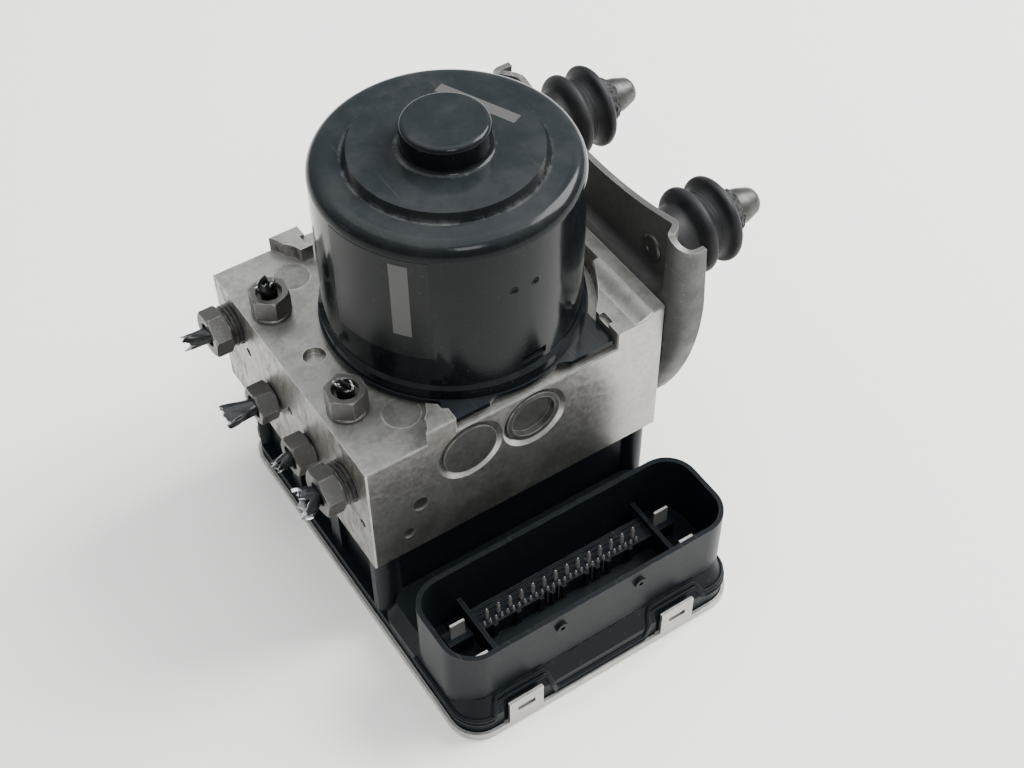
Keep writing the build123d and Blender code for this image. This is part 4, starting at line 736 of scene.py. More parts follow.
def ease(share: float) -> float:
    """Smooth step from 0 to 1, held at both ends."""
    held = max(0.0, min(1.0, share))
    return held * held * (3 - 2 * held)


def show(name: str, data: bpy.types.ID) -> bpy.types.Object:
    """Put a mesh, lamp or camera in the scene.

    Args:
        name: the object's name.
        data: the mesh, lamp or camera.

    Returns:
        The new object.
    """
    shown = bpy.data.objects.new(name, data)
    bpy.context.scene.collection.objects.link(shown)
    return shown


class MeshMaker:
    """Builds one plain mesh from rings, lathes and sheets, in millimetres."""

    TINY = 1e-6
    SAME_PLACE = 1e-7

    def __init__(self, name: str) -> None:
        """Start an empty mesh."""
        self.name = name
        self.bm = bmesh.new()

    def ring(self, points: Sequence[Point]) -> Ring:
        """Add a closed ring of points."""
        return [self.bm.verts.new(Vector(point) * MM) for point in points]

    def bridge(self, lower: Ring, upper: Ring, slot: int = 0) -> None:
        """Join two rings of equal count with quads.

        Args:
            lower: first ring.
            upper: second ring.
            slot: material index of the new faces.
        """
        count = len(lower)
        for index in range(count):
            after = (index + 1) % count
            face = self.bm.faces.new((lower[index], lower[after], upper[after], upper[index]))
            face.material_index = slot

    def loft(self, rings: Sequence[Ring], slot: int = 0, closed: bool = True) -> None:
        """Join rings one after another.

        Args:
            rings: rings of equal count.
            slot: material index of the new faces.
            closed: close both ends.
        """
        for lower, upper in zip(rings, rings[1:]):
            self.bridge(lower, upper, slot)
        if closed:
            self.cap(rings[0], slot)
            self.cap(rings[-1], slot)

    def prism(self, plan: Sequence[tuple[float, float]], low: float, high: float) -> None:
        """Raise a plan between two heights."""
        self.loft([self.ring([(x, y, height) for x, y in plan]) for height in (low, high)])

    def cap(self, ring: Ring, slot: int = 0) -> None:
        """Close a ring with a fan about its middle.

        Args:
            ring: the ring.
            slot: material index of the new faces.
        """
        middle = self.bm.verts.new(sum((vert.co for vert in ring), Vector()) / len(ring))
        count = len(ring)
        for index in range(count):
            face = self.bm.faces.new((ring[index], ring[(index + 1) % count], middle))
            face.material_index = slot

    def lathe(self, outline: Sequence[tuple[float, float]], segments: int, place: Matrix,
              shape: Callable[[float, float, float], float] | None = None, slot: int = 0) -> None:
        """Turn an outline about an axis; its ends close on the axis or on each other.

        Args:
            outline: (radius, height) points.
            segments: faces round the axis.
            place: turns and shifts the axis from +Z, in millimetres.
            shape: gives the radius from the angle, the outline's radius and height.
            slot: material index of the new faces.
        """
        rings = []
        for radius, height in outline:
            points = []
            for step in range(segments):
                angle = 2 * math.pi * step / segments
                reach = shape(angle, radius, height) if shape else radius
                points.append(place @ polar(reach, angle, height))
            rings.append(self.ring(points))
        meets_itself = (Vector(outline[0]) - Vector(outline[-1])).length < self.TINY
        self.loft(rings, slot, closed=not meets_itself)

    def finish(self, materials: Sequence[bpy.types.Material], smooth_deg: float = 32.0) -> bpy.types.Object:
        """Close the mesh and place it in the scene.

        Args:
            materials: its material slots.
            smooth_deg: edges sharper than this stay sharp.

        Returns:
            The finished object.
        """
        bmesh.ops.remove_doubles(self.bm, verts=self.bm.verts, dist=self.SAME_PLACE)
        bmesh.ops.recalc_face_normals(self.bm, faces=self.bm.faces)
        mesh = bpy.data.meshes.new(self.name)
        self.bm.to_mesh(mesh)
        self.bm.free()
        for material in materials:
            mesh.materials.append(material)
        mesh.shade_smooth()
        mesh.set_sharp_from_angle(angle=math.radians(smooth_deg))
        return show(self.name, mesh)


def rounded(corners_at: Sequence[tuple[float, float, float]], steps: int) -> list[tuple[float, float]]:
    """Outline whose corners are rounded.

    Args:
        corners_at: (radius, height, rounding) of each corner.
        steps: points on each rounded corner.

    Returns:
        (radius, height) points.
    """
    longest_cut = 0.48
    result = []
    last = len(corners_at) - 1
    for index, (radius, height, rounding) in enumerate(corners_at):
        here = Vector((radius, height))
        if rounding <= 0.0 or index in (0, last):
            result.append(tuple(here))
            continue
        before = Vector(corners_at[index - 1][:2]) - here
        after = Vector(corners_at[index + 1][:2]) - here
        cut = min(rounding, before.length * longest_cut, after.length * longest_cut)
        start = here + before.normalized() * cut
        end = here + after.normalized() * cut
        for step in range(steps + 1):
            share = step / steps
            point = start * (1 - share) ** 2 + here * 2 * share * (1 - share) + end * share ** 2
            result.append(tuple(point))
    return result


def axis_frame(foot: Point, along: Point) -> Matrix:
    """Matrix that takes +Z to a direction and the origin to a place."""
    turn = Vector(along).to_track_quat("Z", "Y").to_matrix().to_4x4()
    return Matrix.Translation(Vector(foot)) @ turn


def settle(piece: bpy.types.Object, body: str, slot: str, *nodes: str) -> bpy.types.Object:
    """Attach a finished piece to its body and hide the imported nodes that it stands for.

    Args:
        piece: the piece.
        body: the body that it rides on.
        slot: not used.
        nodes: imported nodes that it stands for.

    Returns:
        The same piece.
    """
    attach(piece, body)
    if nodes:
        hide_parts(*nodes)
    return piece


# ------------------------------------------------------------------ pipe ports
BLOCK_LEFT, BLOCK_FRONT, BLOCK_BASE = -53.5, -41.0, 35.0
BENCH_RISE, BENCH_INSET = 43.6, 7.9
LEFTWARDS: Point = (-1.0, 0.0, 0.0)
UPWARDS: Point = (0.0, 0.0, 1.0)


@dataclass(frozen=True)
class Nut:
    """One kind of pipe nut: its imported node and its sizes."""

    node: str
    flats: float
    thread: float
    hex_start: float
    hex_length: float
    turn_deg: float
    collar: float = 0.0

    @property
    def end(self) -> float:
        """Height of the hexagon's outer face."""
        return self.hex_start + self.hex_length


LARGE_NUT = Nut("side_pipe_nuts_large", flats=13.0, thread=6.8, hex_start=3.6, hex_length=5.6, turn_deg=17.0)
SMALL_NUT = Nut("side_pipe_nuts_small", flats=11.0, thread=5.0, hex_start=0.9, hex_length=6.0, turn_deg=10.0)
TOP_NUT = Nut("top_pipe_nuts", flats=11.0, thread=5.0, hex_start=0.4, hex_length=8.1, turn_deg=20.0,
              collar=0.5)


@dataclass(frozen=True)
class Port:
    """Where one pipe enters, which nut holds it and how its stub is torn."""

    node: str
    foot: Point
    along: Point
    nut: Nut
    stub: float
    crush: float
    crush_deg: float
    tear: float
    bend: float
    seed: float
    flare: float = 0.0


def side_foot(along: float, height: float) -> Point:
    """Place of a side port from its distance to the front face and its height."""
    return (BLOCK_LEFT, BLOCK_FRONT + along, BLOCK_BASE + height)


def top_foot(along: float) -> Point:
    """Place of a bench port from its distance to the front face."""
    return (BLOCK_LEFT + BENCH_INSET, BLOCK_FRONT + along, BLOCK_BASE + BENCH_RISE)


@dataclass
class PipePorts:
    """Six threaded pipe nuts with the torn ends of their pipes."""

    ports: tuple[Port, ...] = (
        Port("side_pipe_stub_rear", side_foot(80.2, 32.9), LEFTWARDS, LARGE_NUT,
             stub=7.1, crush=0.62, crush_deg=20.0, tear=2.6, bend=-0.8, seed=1.3),
        Port("side_pipe_stub_upper_middle", side_foot(58.3, 19.9), LEFTWARDS, SMALL_NUT,
             stub=9.2, crush=0.45, crush_deg=70.0, tear=1.2, bend=-1.4, seed=4.1, flare=0.5),
        Port("side_pipe_stub_lower_middle", side_foot(35.4, 19.3), LEFTWARDS, SMALL_NUT,
             stub=5.5, crush=0.30, crush_deg=120.0, tear=2.2, bend=0.9, seed=7.7),
        Port("side_pipe_stub_front", side_foot(13.1, 28.1), LEFTWARDS, LARGE_NUT,
             stub=5.3, crush=0.30, crush_deg=55.0, tear=2.6, bend=0.9, seed=2.9, flare=0.85),
        Port("top_pipe_stub_front", top_foot(23.6), UPWARDS, TOP_NUT,
             stub=2.6, crush=0.35, crush_deg=30.0, tear=2.4, bend=0.5, seed=9.3, flare=0.3),
        Port("top_pipe_stub_rear", top_foot(68.7), UPWARDS, TOP_NUT,
             stub=4.8, crush=0.50, crush_deg=80.0, tear=2.6, bend=1.1, seed=5.9, flare=0.2),
    )
    pipe_radius: float = 2.55
    pipe_wall: float = 0.75
    bore_gap: float = 0.1
    sunk: float = 2.0
    mouth_radius: float = 3.8
    mouth_depth: float = 2.4
    edge_break: float = 0.25
    shank_lap: float = 0.05
    chamfer_deg: float = 28.0
    chamfer_share: float = 0.75
    chamfer_run: float = 1.1
    chamfer_land: float = 0.15
    chamfer_levels: tuple[float, ...] = (0.0, 0.2, 0.45, 0.75, 1.0)
    collar_foot: float = 0.2
    collar_edge: float = 0.35
    overlap: float = 0.02
    nut_sides: int = 96
    shank_sides: int = 48
    thread_pitch: float = 1.25
    thread_depth: float = 0.62
    thread_inset: float = 0.06
    thread_sunk: float = 1.6
    thread_fade: float = 0.8
    thread_root: float = 0.2
    crest_half: float = 0.10
    thread_steps: int = 40
    stub_sunk: float = 4.0
    stub_grip: float = 1.5
    shortest_crush: float = 0.5
    stub_sides: int = 56
    stub_levels: int = 26
    bright_from: float = 0.82
    rip: tuple[float, float] = (1.7, 1.3)
    tooth: tuple[float, float] = (6.0, 0.45)
    tooth_seed: float = 5.0
    rip_back: float = 0.3
    dent: tuple[float, float] = (3.0, 0.16)
    dent_height: float = 0.4
    thinned: float = 0.35
    bend_aside: float = 0.4

    def build(self, wardrobe: Wardrobe) -> None:
        """Build the nuts and the torn stubs.

        Args:
            wardrobe: the finishes.
        """
        groups: dict[str, MeshMaker] = {}
        for port in self.ports:
            maker = groups.setdefault(port.nut.node, MeshMaker(f"cut_{port.nut.node}"))
            self.cut_nut(maker, port, port.nut)
            self.stub(port, wardrobe)
        for node, maker in groups.items():
            materials = [wardrobe.material(Look.NUT), wardrobe.material(Look.DARK_THREAD)]
            settle(maker.finish(materials, smooth_deg=28.0), "module", "zinc_steel", node)

    def cut_nut(self, maker: MeshMaker, port: Port, nut: Nut) -> None:
        """One nut: cut thread, collar, chamfered hexagon and open mouth.

        Args:
            maker: mesh that holds every nut of its kind.
            port: its port.
            nut: its kind.
        """
        place = axis_frame(port.foot, port.along) @ Matrix.Rotation(math.radians(nut.turn_deg), 4, "Z")
        half = nut.flats / 2
        chamfer = (nut.flats / math.sqrt(3) - half) * self.chamfer_share * self.chamfer_run
        slope = 1.0 / math.tan(math.radians(self.chamfer_deg))
        base = nut.hex_start + nut.collar * 2.0
        end = nut.end
        bore = self.pipe_radius + self.bore_gap
        root = nut.thread - self.thread_inset - self.thread_depth

        def six_sided(angle: float, radius: float, height: float) -> float:
            """Radius of the hexagon inside its chamfer cones."""
            if height < base - maker.TINY or radius <= half - self.collar_foot:
                return radius
            flat = half / math.cos(angle % (math.pi / 3) - math.pi / 6)
            return min(flat, half + min(end - height, height - base) * slope + self.chamfer_land)

        outline = [(bore, base - self.shank_lap), (root, base - self.shank_lap)]
        if nut.collar > 0.0:
            wide = half + nut.collar
            neck = nut.thread - self.collar_foot
            foot = wide - self.collar_foot
            outline = [(bore, -self.sunk), (neck, -self.sunk), (neck, self.overlap), (foot, self.overlap),
                       (wide, self.edge_break), (wide, base - self.collar_edge),
                       (wide - self.collar_edge, base - self.overlap / 2)]
        outline += [(half, base + chamfer * level) for level in self.chamfer_levels]
        outline += [(half, end - chamfer * level) for level in reversed(self.chamfer_levels)]
        outline += [(self.mouth_radius + self.edge_break, end), (self.mouth_radius, end - self.edge_break),
                    (self.mouth_radius, end - self.mouth_depth)]
        maker.lathe(outline, self.nut_sides, place, six_sided)
        if nut.collar <= 0.0:
            shank = [(bore, -self.sunk), (root, -self.sunk), (root, base), (bore, base)]
            maker.lathe(shank, self.shank_sides, place, slot=1)
            self.thread(maker, nut.thread - self.thread_inset, place, base)

    def thread(self, maker: MeshMaker, crest: float, place: Matrix, top: float) -> None:
        """Helical thread between the block and the hexagon.

        Args:
            maker: mesh that holds the nuts.
            crest: outer radius of the thread.
            place: the nut's frame.
            top: height at which the thread runs out.
        """
        root = crest - self.thread_depth
        buried = root - self.thread_root
        length = top + self.thread_sunk
        steps = length / self.thread_pitch * self.thread_steps
        rows = []
        for step in range(int(steps) + 1):
            angle = 2 * math.pi * step / self.thread_steps
            height = -self.thread_sunk + length * step / steps
            fade = max(0.0, min(1.0, (top - height) / self.thread_fade))
            reach = root + (crest - root) * fade
            flanks = ((buried, -0.5), (reach, -self.crest_half), (reach, self.crest_half), (buried, 0.5))
            rows.append(maker.ring([place @ polar(radius, angle, height + lift * self.thread_pitch)
                                    for radius, lift in flanks]))
        maker.loft(rows, 1)

    def stub(self, port: Port, wardrobe: Wardrobe) -> None:
        """One torn pipe end: crushed, bent and ripped open.

        Args:
            port: its port.
            wardrobe: the finishes.
        """
        maker = MeshMaker(f"torn_{port.node}")
        place = axis_frame(port.foot, port.along)
        last = self.stub_levels - 1
        outer, inner = ([maker.ring(self.section(port, place, level / last, inset))
                         for level in range(self.stub_levels)] for inset in (0.0, self.pipe_wall))
        maker.loft(outer, closed=False)
        for level, (lower, upper) in enumerate(zip(inner, inner[1:])):
            maker.bridge(upper, lower, 1 if level > self.stub_levels * self.bright_from else 0)
        maker.bridge(outer[-1], inner[-1], 1)
        maker.bridge(inner[0], outer[0], 0)
        materials = [wardrobe.material(Look.PIPE), wardrobe.material(Look.TORN)]
        settle(maker.finish(materials, smooth_deg=40.0), "module", "pipe_coat", port.node)

    def section(self, port: Port, place: Matrix, share: float, inset: float) -> list[Point]:
        """Points round the pipe at one level.

        Args:
            port: its port.
            place: the port's frame.
            share: level from foot to torn edge.
            inset: distance inside the outer wall.

        Returns:
            Places in millimetres.
        """
        clamp = port.nut.end - self.stub_grip
        tip = port.nut.end + port.stub
        turn = math.radians(port.crush_deg)
        rip_size, rip_share = self.rip
        tooth_size, tooth_share = self.tooth
        dent_size, dent_share = self.dent
        points = []
        for step in range(self.stub_sides):
            angle = 2 * math.pi * step / self.stub_sides
            rip = rip_share * noise.noise(polar(rip_size, angle, port.seed))
            tooth = tooth_share * noise.noise(polar(tooth_size, angle, port.seed + self.tooth_seed))
            edge = tip + port.tear * (rip + tooth) - self.rip_back * port.tear
            height = -self.stub_sunk + (edge + self.stub_sunk) * share
            crushed = ease((height - clamp) / max(self.shortest_crush, tip - clamp))
            dent = noise.noise(polar(dent_size, angle, height * self.dent_height))
            wall = self.pipe_radius - inset * (1.0 - self.thinned * crushed)
            radius = wall * (1.0 + dent_share * crushed * dent)
            across = radius * math.cos(angle - turn) * (1.0 - port.crush * crushed)
            beside = radius * math.sin(angle - turn) * (1.0 + port.flare * crushed)
            x = across * math.cos(turn) - beside * math.sin(turn) + port.bend * crushed
            y = across * math.sin(turn) + beside * math.cos(turn) + self.bend_aside * port.bend * crushed
            points.append(place @ Vector((x, y, height)))
        return points


# ------------------------------------------------------------------ rubber mounts
@dataclass
class RubberMounts:
    """Two grooved rubber bobbins on steel studs."""

    face_x: float = 53.5
    mount_z: float = 96.3
    rows: tuple[tuple[str, float, float], ...] = (("front", -26.8, 3.0), ("rear", 35.2, 8.0))
    flange: float = 13.3
    waist: float = 9.9
    groove: float = 10.2
    length: float = 24.0
    tip_radius: float = 5.6
    tip_end: float = 3.7
    tip_barrel: float = 6.4
    tip_cone: float = 5.4
    bore: float = 4.2
    neck_bore: float = 5.64
    neck_from: float = 23.4
    neck_least: float = 5.7
    neck_most: float = 8.2
    neck_rags: tuple[float, float, float] = (5.0, 0.8, 0.9)
    wave: tuple[float, float, float] = (2.0, 0.15, 0.10)
    head: float = -2.0
    shank: float = 4.0
    bobbin_sides: int = 120
    stud_sides: int = 72
    corner_steps: int = 4

    def build(self, wardrobe: Wardrobe) -> None:
        """Build both mounts and both studs.

        Args:
            wardrobe: the finishes.
        """
        for name, y, seed in self.rows:
            place = axis_frame((self.face_x, y, self.mount_z), (1.0, 0.0, 0.0))
            self.bobbin(name, seed, place, wardrobe)
            self.stud(name, place, wardrobe)

    def bobbin(self, name: str, seed: float, place: Matrix, wardrobe: Wardrobe) -> None:
        """One bobbin with rounded flanges, a parting line and a ragged neck.

        Args:
            name: front or rear.
            seed: where its own unevenness is read.
            place: the mount's frame.
            wardrobe: the finishes.
        """
        flange, waist, groove = self.flange, self.waist, self.groove
        outline = rounded([
            (self.bore, 0.1, 0), (waist - 0.4, 0.1, 0.5), (waist, 1.2, 0.8), (waist - 0.4, 7.8, 1.0),
            (flange - 1.0, 9.2, 1.1), (flange, 10.4, 1.0), (flange, 12.0, 1.0), (groove + 1.0, 13.4, 1.1),
            (groove - 0.1, 15.2, 0.8), (groove + 0.2, 15.6, 0.15), (groove + 0.2, 15.9, 0.15),
            (groove - 0.1, 16.3, 0.8), (groove + 0.9, 17.9, 1.1), (flange, 18.9, 1.0), (flange, 20.7, 1.1),
            (flange - 1.6, 21.9, 1.1), (8.6, 22.9, 0.9), (7.7, 24.0, 0.6), (7.3, 25.6, 0.4), (6.5, 26.6, 0.3),
            (6.3, 27.4, 0.2), (self.neck_bore, 27.5, 0), (self.neck_bore, 23.6, 0), (self.bore, 23.2, 0)],
            self.corner_steps)

        def ripple(angle: float, height: float, shape: tuple[float, float, float]) -> float:
            """Noise round the bobbin from its size, its change with height and its depth."""
            size, climb, depth = shape
            return depth * noise.noise(polar(size, angle, height * climb + seed))

        def worn(angle: float, radius: float, height: float) -> float:
            """Radius with slow waviness and a ragged neck."""
            if radius < self.neck_least:
                return radius
            reach = radius + ripple(angle, height, self.wave)
            if height > self.neck_from:
                reach += ripple(angle, height, self.neck_rags)
                return max(self.neck_least, min(self.neck_most, reach))
            return max(self.bore, min(flange, reach))

        maker = MeshMaker(f"bobbin_{name}")
        maker.lathe([*outline, outline[0]], self.bobbin_sides, place, worn)
        piece = maker.finish([wardrobe.material(Look.RUBBER)], smooth_deg=50.0)
        settle(piece, "module", "black_rubber", f"rubber_mount_{name}")

    def stud(self, name: str, place: Matrix, wardrobe: Wardrobe) -> None:
        """One stud: rivet head inside the bracket, shank and rounded tip.

        Args:
            name: front or rear.
            place: the mount's frame.
            wardrobe: the finishes.
        """
        head, barrel_end = self.head, self.length + self.tip_barrel
        end = barrel_end + self.tip_cone
        smallest = 0.01
        outline = rounded([
            (0.0, head - 0.55, 0), (1.0, head - 0.6, 0.2), (1.35, head - 1.1, 0.2), (3.6, head - 1.1, 0.5),
            (4.4, head - 0.5, 0.4), (4.5, head - 0.02, 0), (self.shank, head - 0.01, 0),
            (self.shank, self.length - 0.5, 0), (self.tip_radius - 0.4, self.length - 0.5, 0.3),
            (self.tip_radius, self.length + 0.3, 0.5), (self.tip_radius, barrel_end - 0.6, 1.0),
            (self.tip_end + 0.4, end - 1.2, 1.2), (self.tip_end - 0.9, end, 0.8), (0.0, end, 0)],
            self.corner_steps)
        maker = MeshMaker(f"stud_{name}")
        maker.lathe([(max(radius, smallest), height) for radius, height in outline], self.stud_sides, place)
        piece = maker.finish([wardrobe.material(Look.TIP)], smooth_deg=40.0)
        settle(piece, "module", "zinc_steel", f"mount_stud_{name}")


# ------------------------------------------------------------------ connector contacts
@dataclass(frozen=True)
class PinRow:
    """One row of pins: first place, pitch, count, depth, top and width."""

    first_x: float
    pitch: float
    count: int
    y: float
    top: float
    width: float


@dataclass
class ContactField:
    """Rows of signal pins, placed by a node tree."""

    foot_z: float = 8.2
    tip_height: float = 1.1
    tip_share: float = 0.35
    rows: tuple[PinRow, ...] = (
        PinRow(-30.2, 4.07, 14, -63.3, 23.0, 0.9),
        PinRow(-32.235, 2.035, 28, -65.25, 20.4, 0.7),
    )

    def tree(self) -> bpy.types.NodeTree:
        """Node tree that repeats one tipped pin along a line.

        Returns:
            The tree.
        """
        build, given, result = start_tree(
            "pin row", "GeometryNodeTree",
            (("Count", "Int", 2), ("Pitch", "Float", 0.004), ("Width", "Float", 0.001),
             ("Height", "Float", 0.01), ("Tip", "Float", 0.001), ("Metal", "Material", None)),
            (("Geometry", "Geometry"),))
        width, height = given.outputs["Width"], given.outputs["Height"]
        size = build.node("ShaderNodeCombineXYZ", X=width, Y=width, Z=height)
        shaft = build.node("GeometryNodeMeshCube", Size=size.outputs[0])
        lift = build.node("ShaderNodeCombineXYZ", Z=build.times(height, 0.5))
        raised = build.node("GeometryNodeTransform", Geometry=shaft.outputs["Mesh"],
                            Translation=lift.outputs[0])
        wide = build.times(width, math.sqrt(0.5))
        tip = build.node("GeometryNodeMeshCone", Vertices=4, Radius_Bottom=wide, Depth=given.outputs["Tip"],
                         Radius_Top=build.times(wide, self.tip_share))
        top = build.node("ShaderNodeCombineXYZ", Z=height)
        placed = build.node("GeometryNodeTransform", Geometry=tip.outputs["Mesh"], Translation=top.outputs[0],
                            Rotation=(0.0, 0.0, math.pi / 4))
        pin = build.tree.nodes.new("GeometryNodeJoinGeometry")
        build.feed(pin.inputs[0], raised.outputs[0])
        build.feed(pin.inputs[0], placed.outputs[0])
        step = build.node("ShaderNodeCombineXYZ", X=given.outputs["Pitch"])
        line = build.node("GeometryNodeMeshLine", Count=given.outputs["Count"], Offset=step.outputs[0])
        spread = build.node("GeometryNodeInstanceOnPoints", Points=line.outputs[0], Instance=pin.outputs[0])
        coat_and_end(build, spread.outputs[0], given.outputs["Metal"], result)
        return build.tree

    def build(self, wardrobe: Wardrobe) -> None:
        """Build every row and join them in one piece.

        Args:
            wardrobe: the finishes.
        """
        tree = self.tree()
        metal = wardrobe.material(Look.CONTACT)
        merged = bmesh.new()
        for line in self.rows:
            height = line.top - self.tip_height - self.foot_z
            sizes = {"Count": line.count, "Pitch": line.pitch * MM, "Width": line.width * MM,
                     "Height": height * MM, "Tip": self.tip_height * MM, "Metal": metal}
            row = baked("pin_row", tree, sizes)
            row.transform(Matrix.Translation(Vector((line.first_x, line.y, self.foot_z)) * MM))
            merged.from_mesh(row)
            bpy.data.meshes.remove(row)
        mesh = bpy.data.meshes.new("contact_pins")
        merged.to_mesh(mesh)
        merged.free()
        mesh.materials.append(metal)
        settle(show("contact_pins", mesh), "module", "tinned_contact", "signal_pins")


def coat_and_end(build: Shading, shape: Socket, material: Socket, result: bpy.types.Node) -> None:
    """End a geometry tree: real mesh, its material and the output.

    Args:
        build: the tree's builder.
        shape: the geometry.
        material: the tree's material input.
        result: the tree's output node.
    """
    real = build.node("GeometryNodeRealizeInstances", Geometry=shape)
    coat = build.node("GeometryNodeSetMaterial", Geometry=real.outputs[0], Material=material)
    build.feed(result.inputs[0], coat.outputs[0])


def baked(name: str, tree: bpy.types.NodeTree, values: dict[str, object],
          base: bpy.types.Mesh | None = None) -> bpy.types.Mesh:
    """Run a geometry tree once and return its plain mesh.

    Args:
        name: the mesh's name.
        tree: the tree.
        values: its inputs by name.
        base: mesh that the tree starts from.

    Returns:
        The mesh.
    """
    holder = show(name, base or bpy.data.meshes.new(name))
    modifier = holder.modifiers.new("nodes", "NODES")
    modifier.node_group = tree
    for item in tree.interface.items_tree:
        if item.item_type == "SOCKET" and item.in_out == "INPUT" and item.name in values:
            modifier[item.identifier] = values[item.name]
    ready = holder.evaluated_get(bpy.context.evaluated_depsgraph_get())
    mesh = bpy.data.meshes.new_from_object(ready)
    bpy.data.objects.remove(holder)
    return mesh


# ------------------------------------------------------------------ housing beads
@dataclass
class HousingBeads:
    """Two moulded beads that follow the tray's edge and step up round the clip tabs."""

    left: float = -52.2
    right: float = 44.2
    front: float = -87.5
    rear_end: float = -58.0
    corner: float = 8.7
    slope_from: float = 9.0
    slope: float = 3.2 / 6.0
    low: float = 5.2
    high: float = 14.2
    side: float = 7.6
    tabs: tuple[float, float] = (-33.0, 21.5)
    tab_reach: float = 8.2
    step_run: float = 3.2
    right_rise: float = 2.0
    radius: float = 0.75
    apart: float = 1.7
    side_steps: int = 8
    bend_steps: int = 12
    front_step: float = 0.5
    tube_sides: int = 14
    tube_step: float = 0.8

    def level(self, x: float) -> float:
        """Height of the upper bead along the front.

        Args:
            x: place along the front.

        Returns:
            Its height.
        """
        lift = 0.0
        for tab in self.tabs:
            away = abs(x - tab) - self.tab_reach
            lift = max(lift, ease(1.0 - away / self.step_run))
        base = self.low
        if x < self.tabs[0]:
            base = self.side
        if x > self.tabs[1]:
            base = self.side + self.right_rise
        return base + (self.high - base) * lift

    def out(self, height: float) -> float:
        """How far the sloped skirt stands back at a height."""
        return max(0.0, height - self.slope_from) * self.slope

    def path(self, drop: float) -> list[Point]:
        """Points of one bead from the left side round the front to the right side.

        Args:
            drop: how far it lies below the upper bead.

        Returns:
            Places in millimetres.
        """
        points: list[Point] = []
        first, last = self.left + self.corner, self.right - self.corner
        start_level, end_level = self.level(first) - drop, self.level(last) - drop
        along = self.rear_end - self.front - self.corner
        for step in range(self.side_steps):
            y = self.rear_end - along * step / self.side_steps
            points.append((self.left + self.out(start_level), y, start_level))
        points += self.bend(first, 180.0, start_level)
        x = first
        while x < last:
            level = self.level(x) - drop
            points.append((x, self.front + self.out(level), level))
            x += self.front_step
        points += self.bend(last, 270.0, end_level)
        for step in range(self.side_steps + 1):
            y = self.front + self.corner + along * step / self.side_steps
            points.append((self.right - self.out(end_level), y, end_level))
        return points

    def bend(self, middle: float, start_deg: float, level: float) -> list[Point]:
        """Points round one front corner.

        Args:
            middle: x of the corner's centre.
            start_deg: angle at which the corner starts.
            level: height.

        Returns:
            Places in millimetres.
        """
        reach = self.corner - self.out(level)
        points: list[Point] = []
        for step in range(1, self.bend_steps):
            angle = math.radians(start_deg + 90.0 * step / self.bend_steps)
            y = self.front + self.corner + reach * math.sin(angle)
            points.append((middle + reach * math.cos(angle), y, level))
        return points

    def tree(self) -> bpy.types.NodeTree:
        """Node tree that turns a line of edges into a round bead.

        Returns:
            The tree.
        """
        build, given, result = start_tree(
            "moulded bead", "GeometryNodeTree",
            (("Geometry", "Geometry", None), ("Radius", "Float", 0.0007), ("Spacing", "Float", 0.0008),
             ("Plastic", "Material", None)),
            (("Geometry", "Geometry"),))
        curve = build.node("GeometryNodeMeshToCurve", Mesh=given.outputs["Geometry"])
        even = build.tree.nodes.new("GeometryNodeResampleCurve")
        even.mode = "LENGTH"
        build.feed(even.inputs["Curve"], curve.outputs[0])
        build.feed(even.inputs["Length"], given.outputs["Spacing"])
        ring = build.node("GeometryNodeCurvePrimitiveCircle", Resolution=self.tube_sides,
                          Radius=given.outputs["Radius"])
        tube = build.node("GeometryNodeCurveToMesh", Curve=even.outputs[0], Profile_Curve=ring.outputs[0],
                          Fill_Caps=True)
        smooth = build.node("GeometryNodeSetShadeSmooth", Geometry=tube.outputs[0])
        coat_and_end(build, smooth.outputs[0], given.outputs["Plastic"], result)
        return build.tree

    def build(self, wardrobe: Wardrobe) -> None:
        """Build both beads in one piece.

        Args:
            wardrobe: the finishes.
        """
        plastic = wardrobe.material(Look.HOUSING)
        tree = self.tree()
        merged = bmesh.new()
        for drop in (0.0, self.apart):
            points = [tuple(value * MM for value in point) for point in self.path(drop)]
            line = bpy.data.meshes.new("bead line")
            line.from_pydata(points, [(index, index + 1) for index in range(len(points) - 1)], [])
            sizes = {"Radius": self.radius * MM, "Spacing": self.tube_step * MM, "Plastic": plastic}
            tube = baked("bead", tree, sizes, line)
            merged.from_mesh(tube)
            bpy.data.meshes.remove(tube)
        bmesh.ops.recalc_face_normals(merged, faces=merged.faces)
        mesh = bpy.data.meshes.new("housing_beads")
        merged.to_mesh(mesh)
        merged.free()
        mesh.materials.clear()
        mesh.materials.append(plastic)
        mesh.shade_smooth()
        settle(show("housing_beads", mesh), "module", "black_plastic")


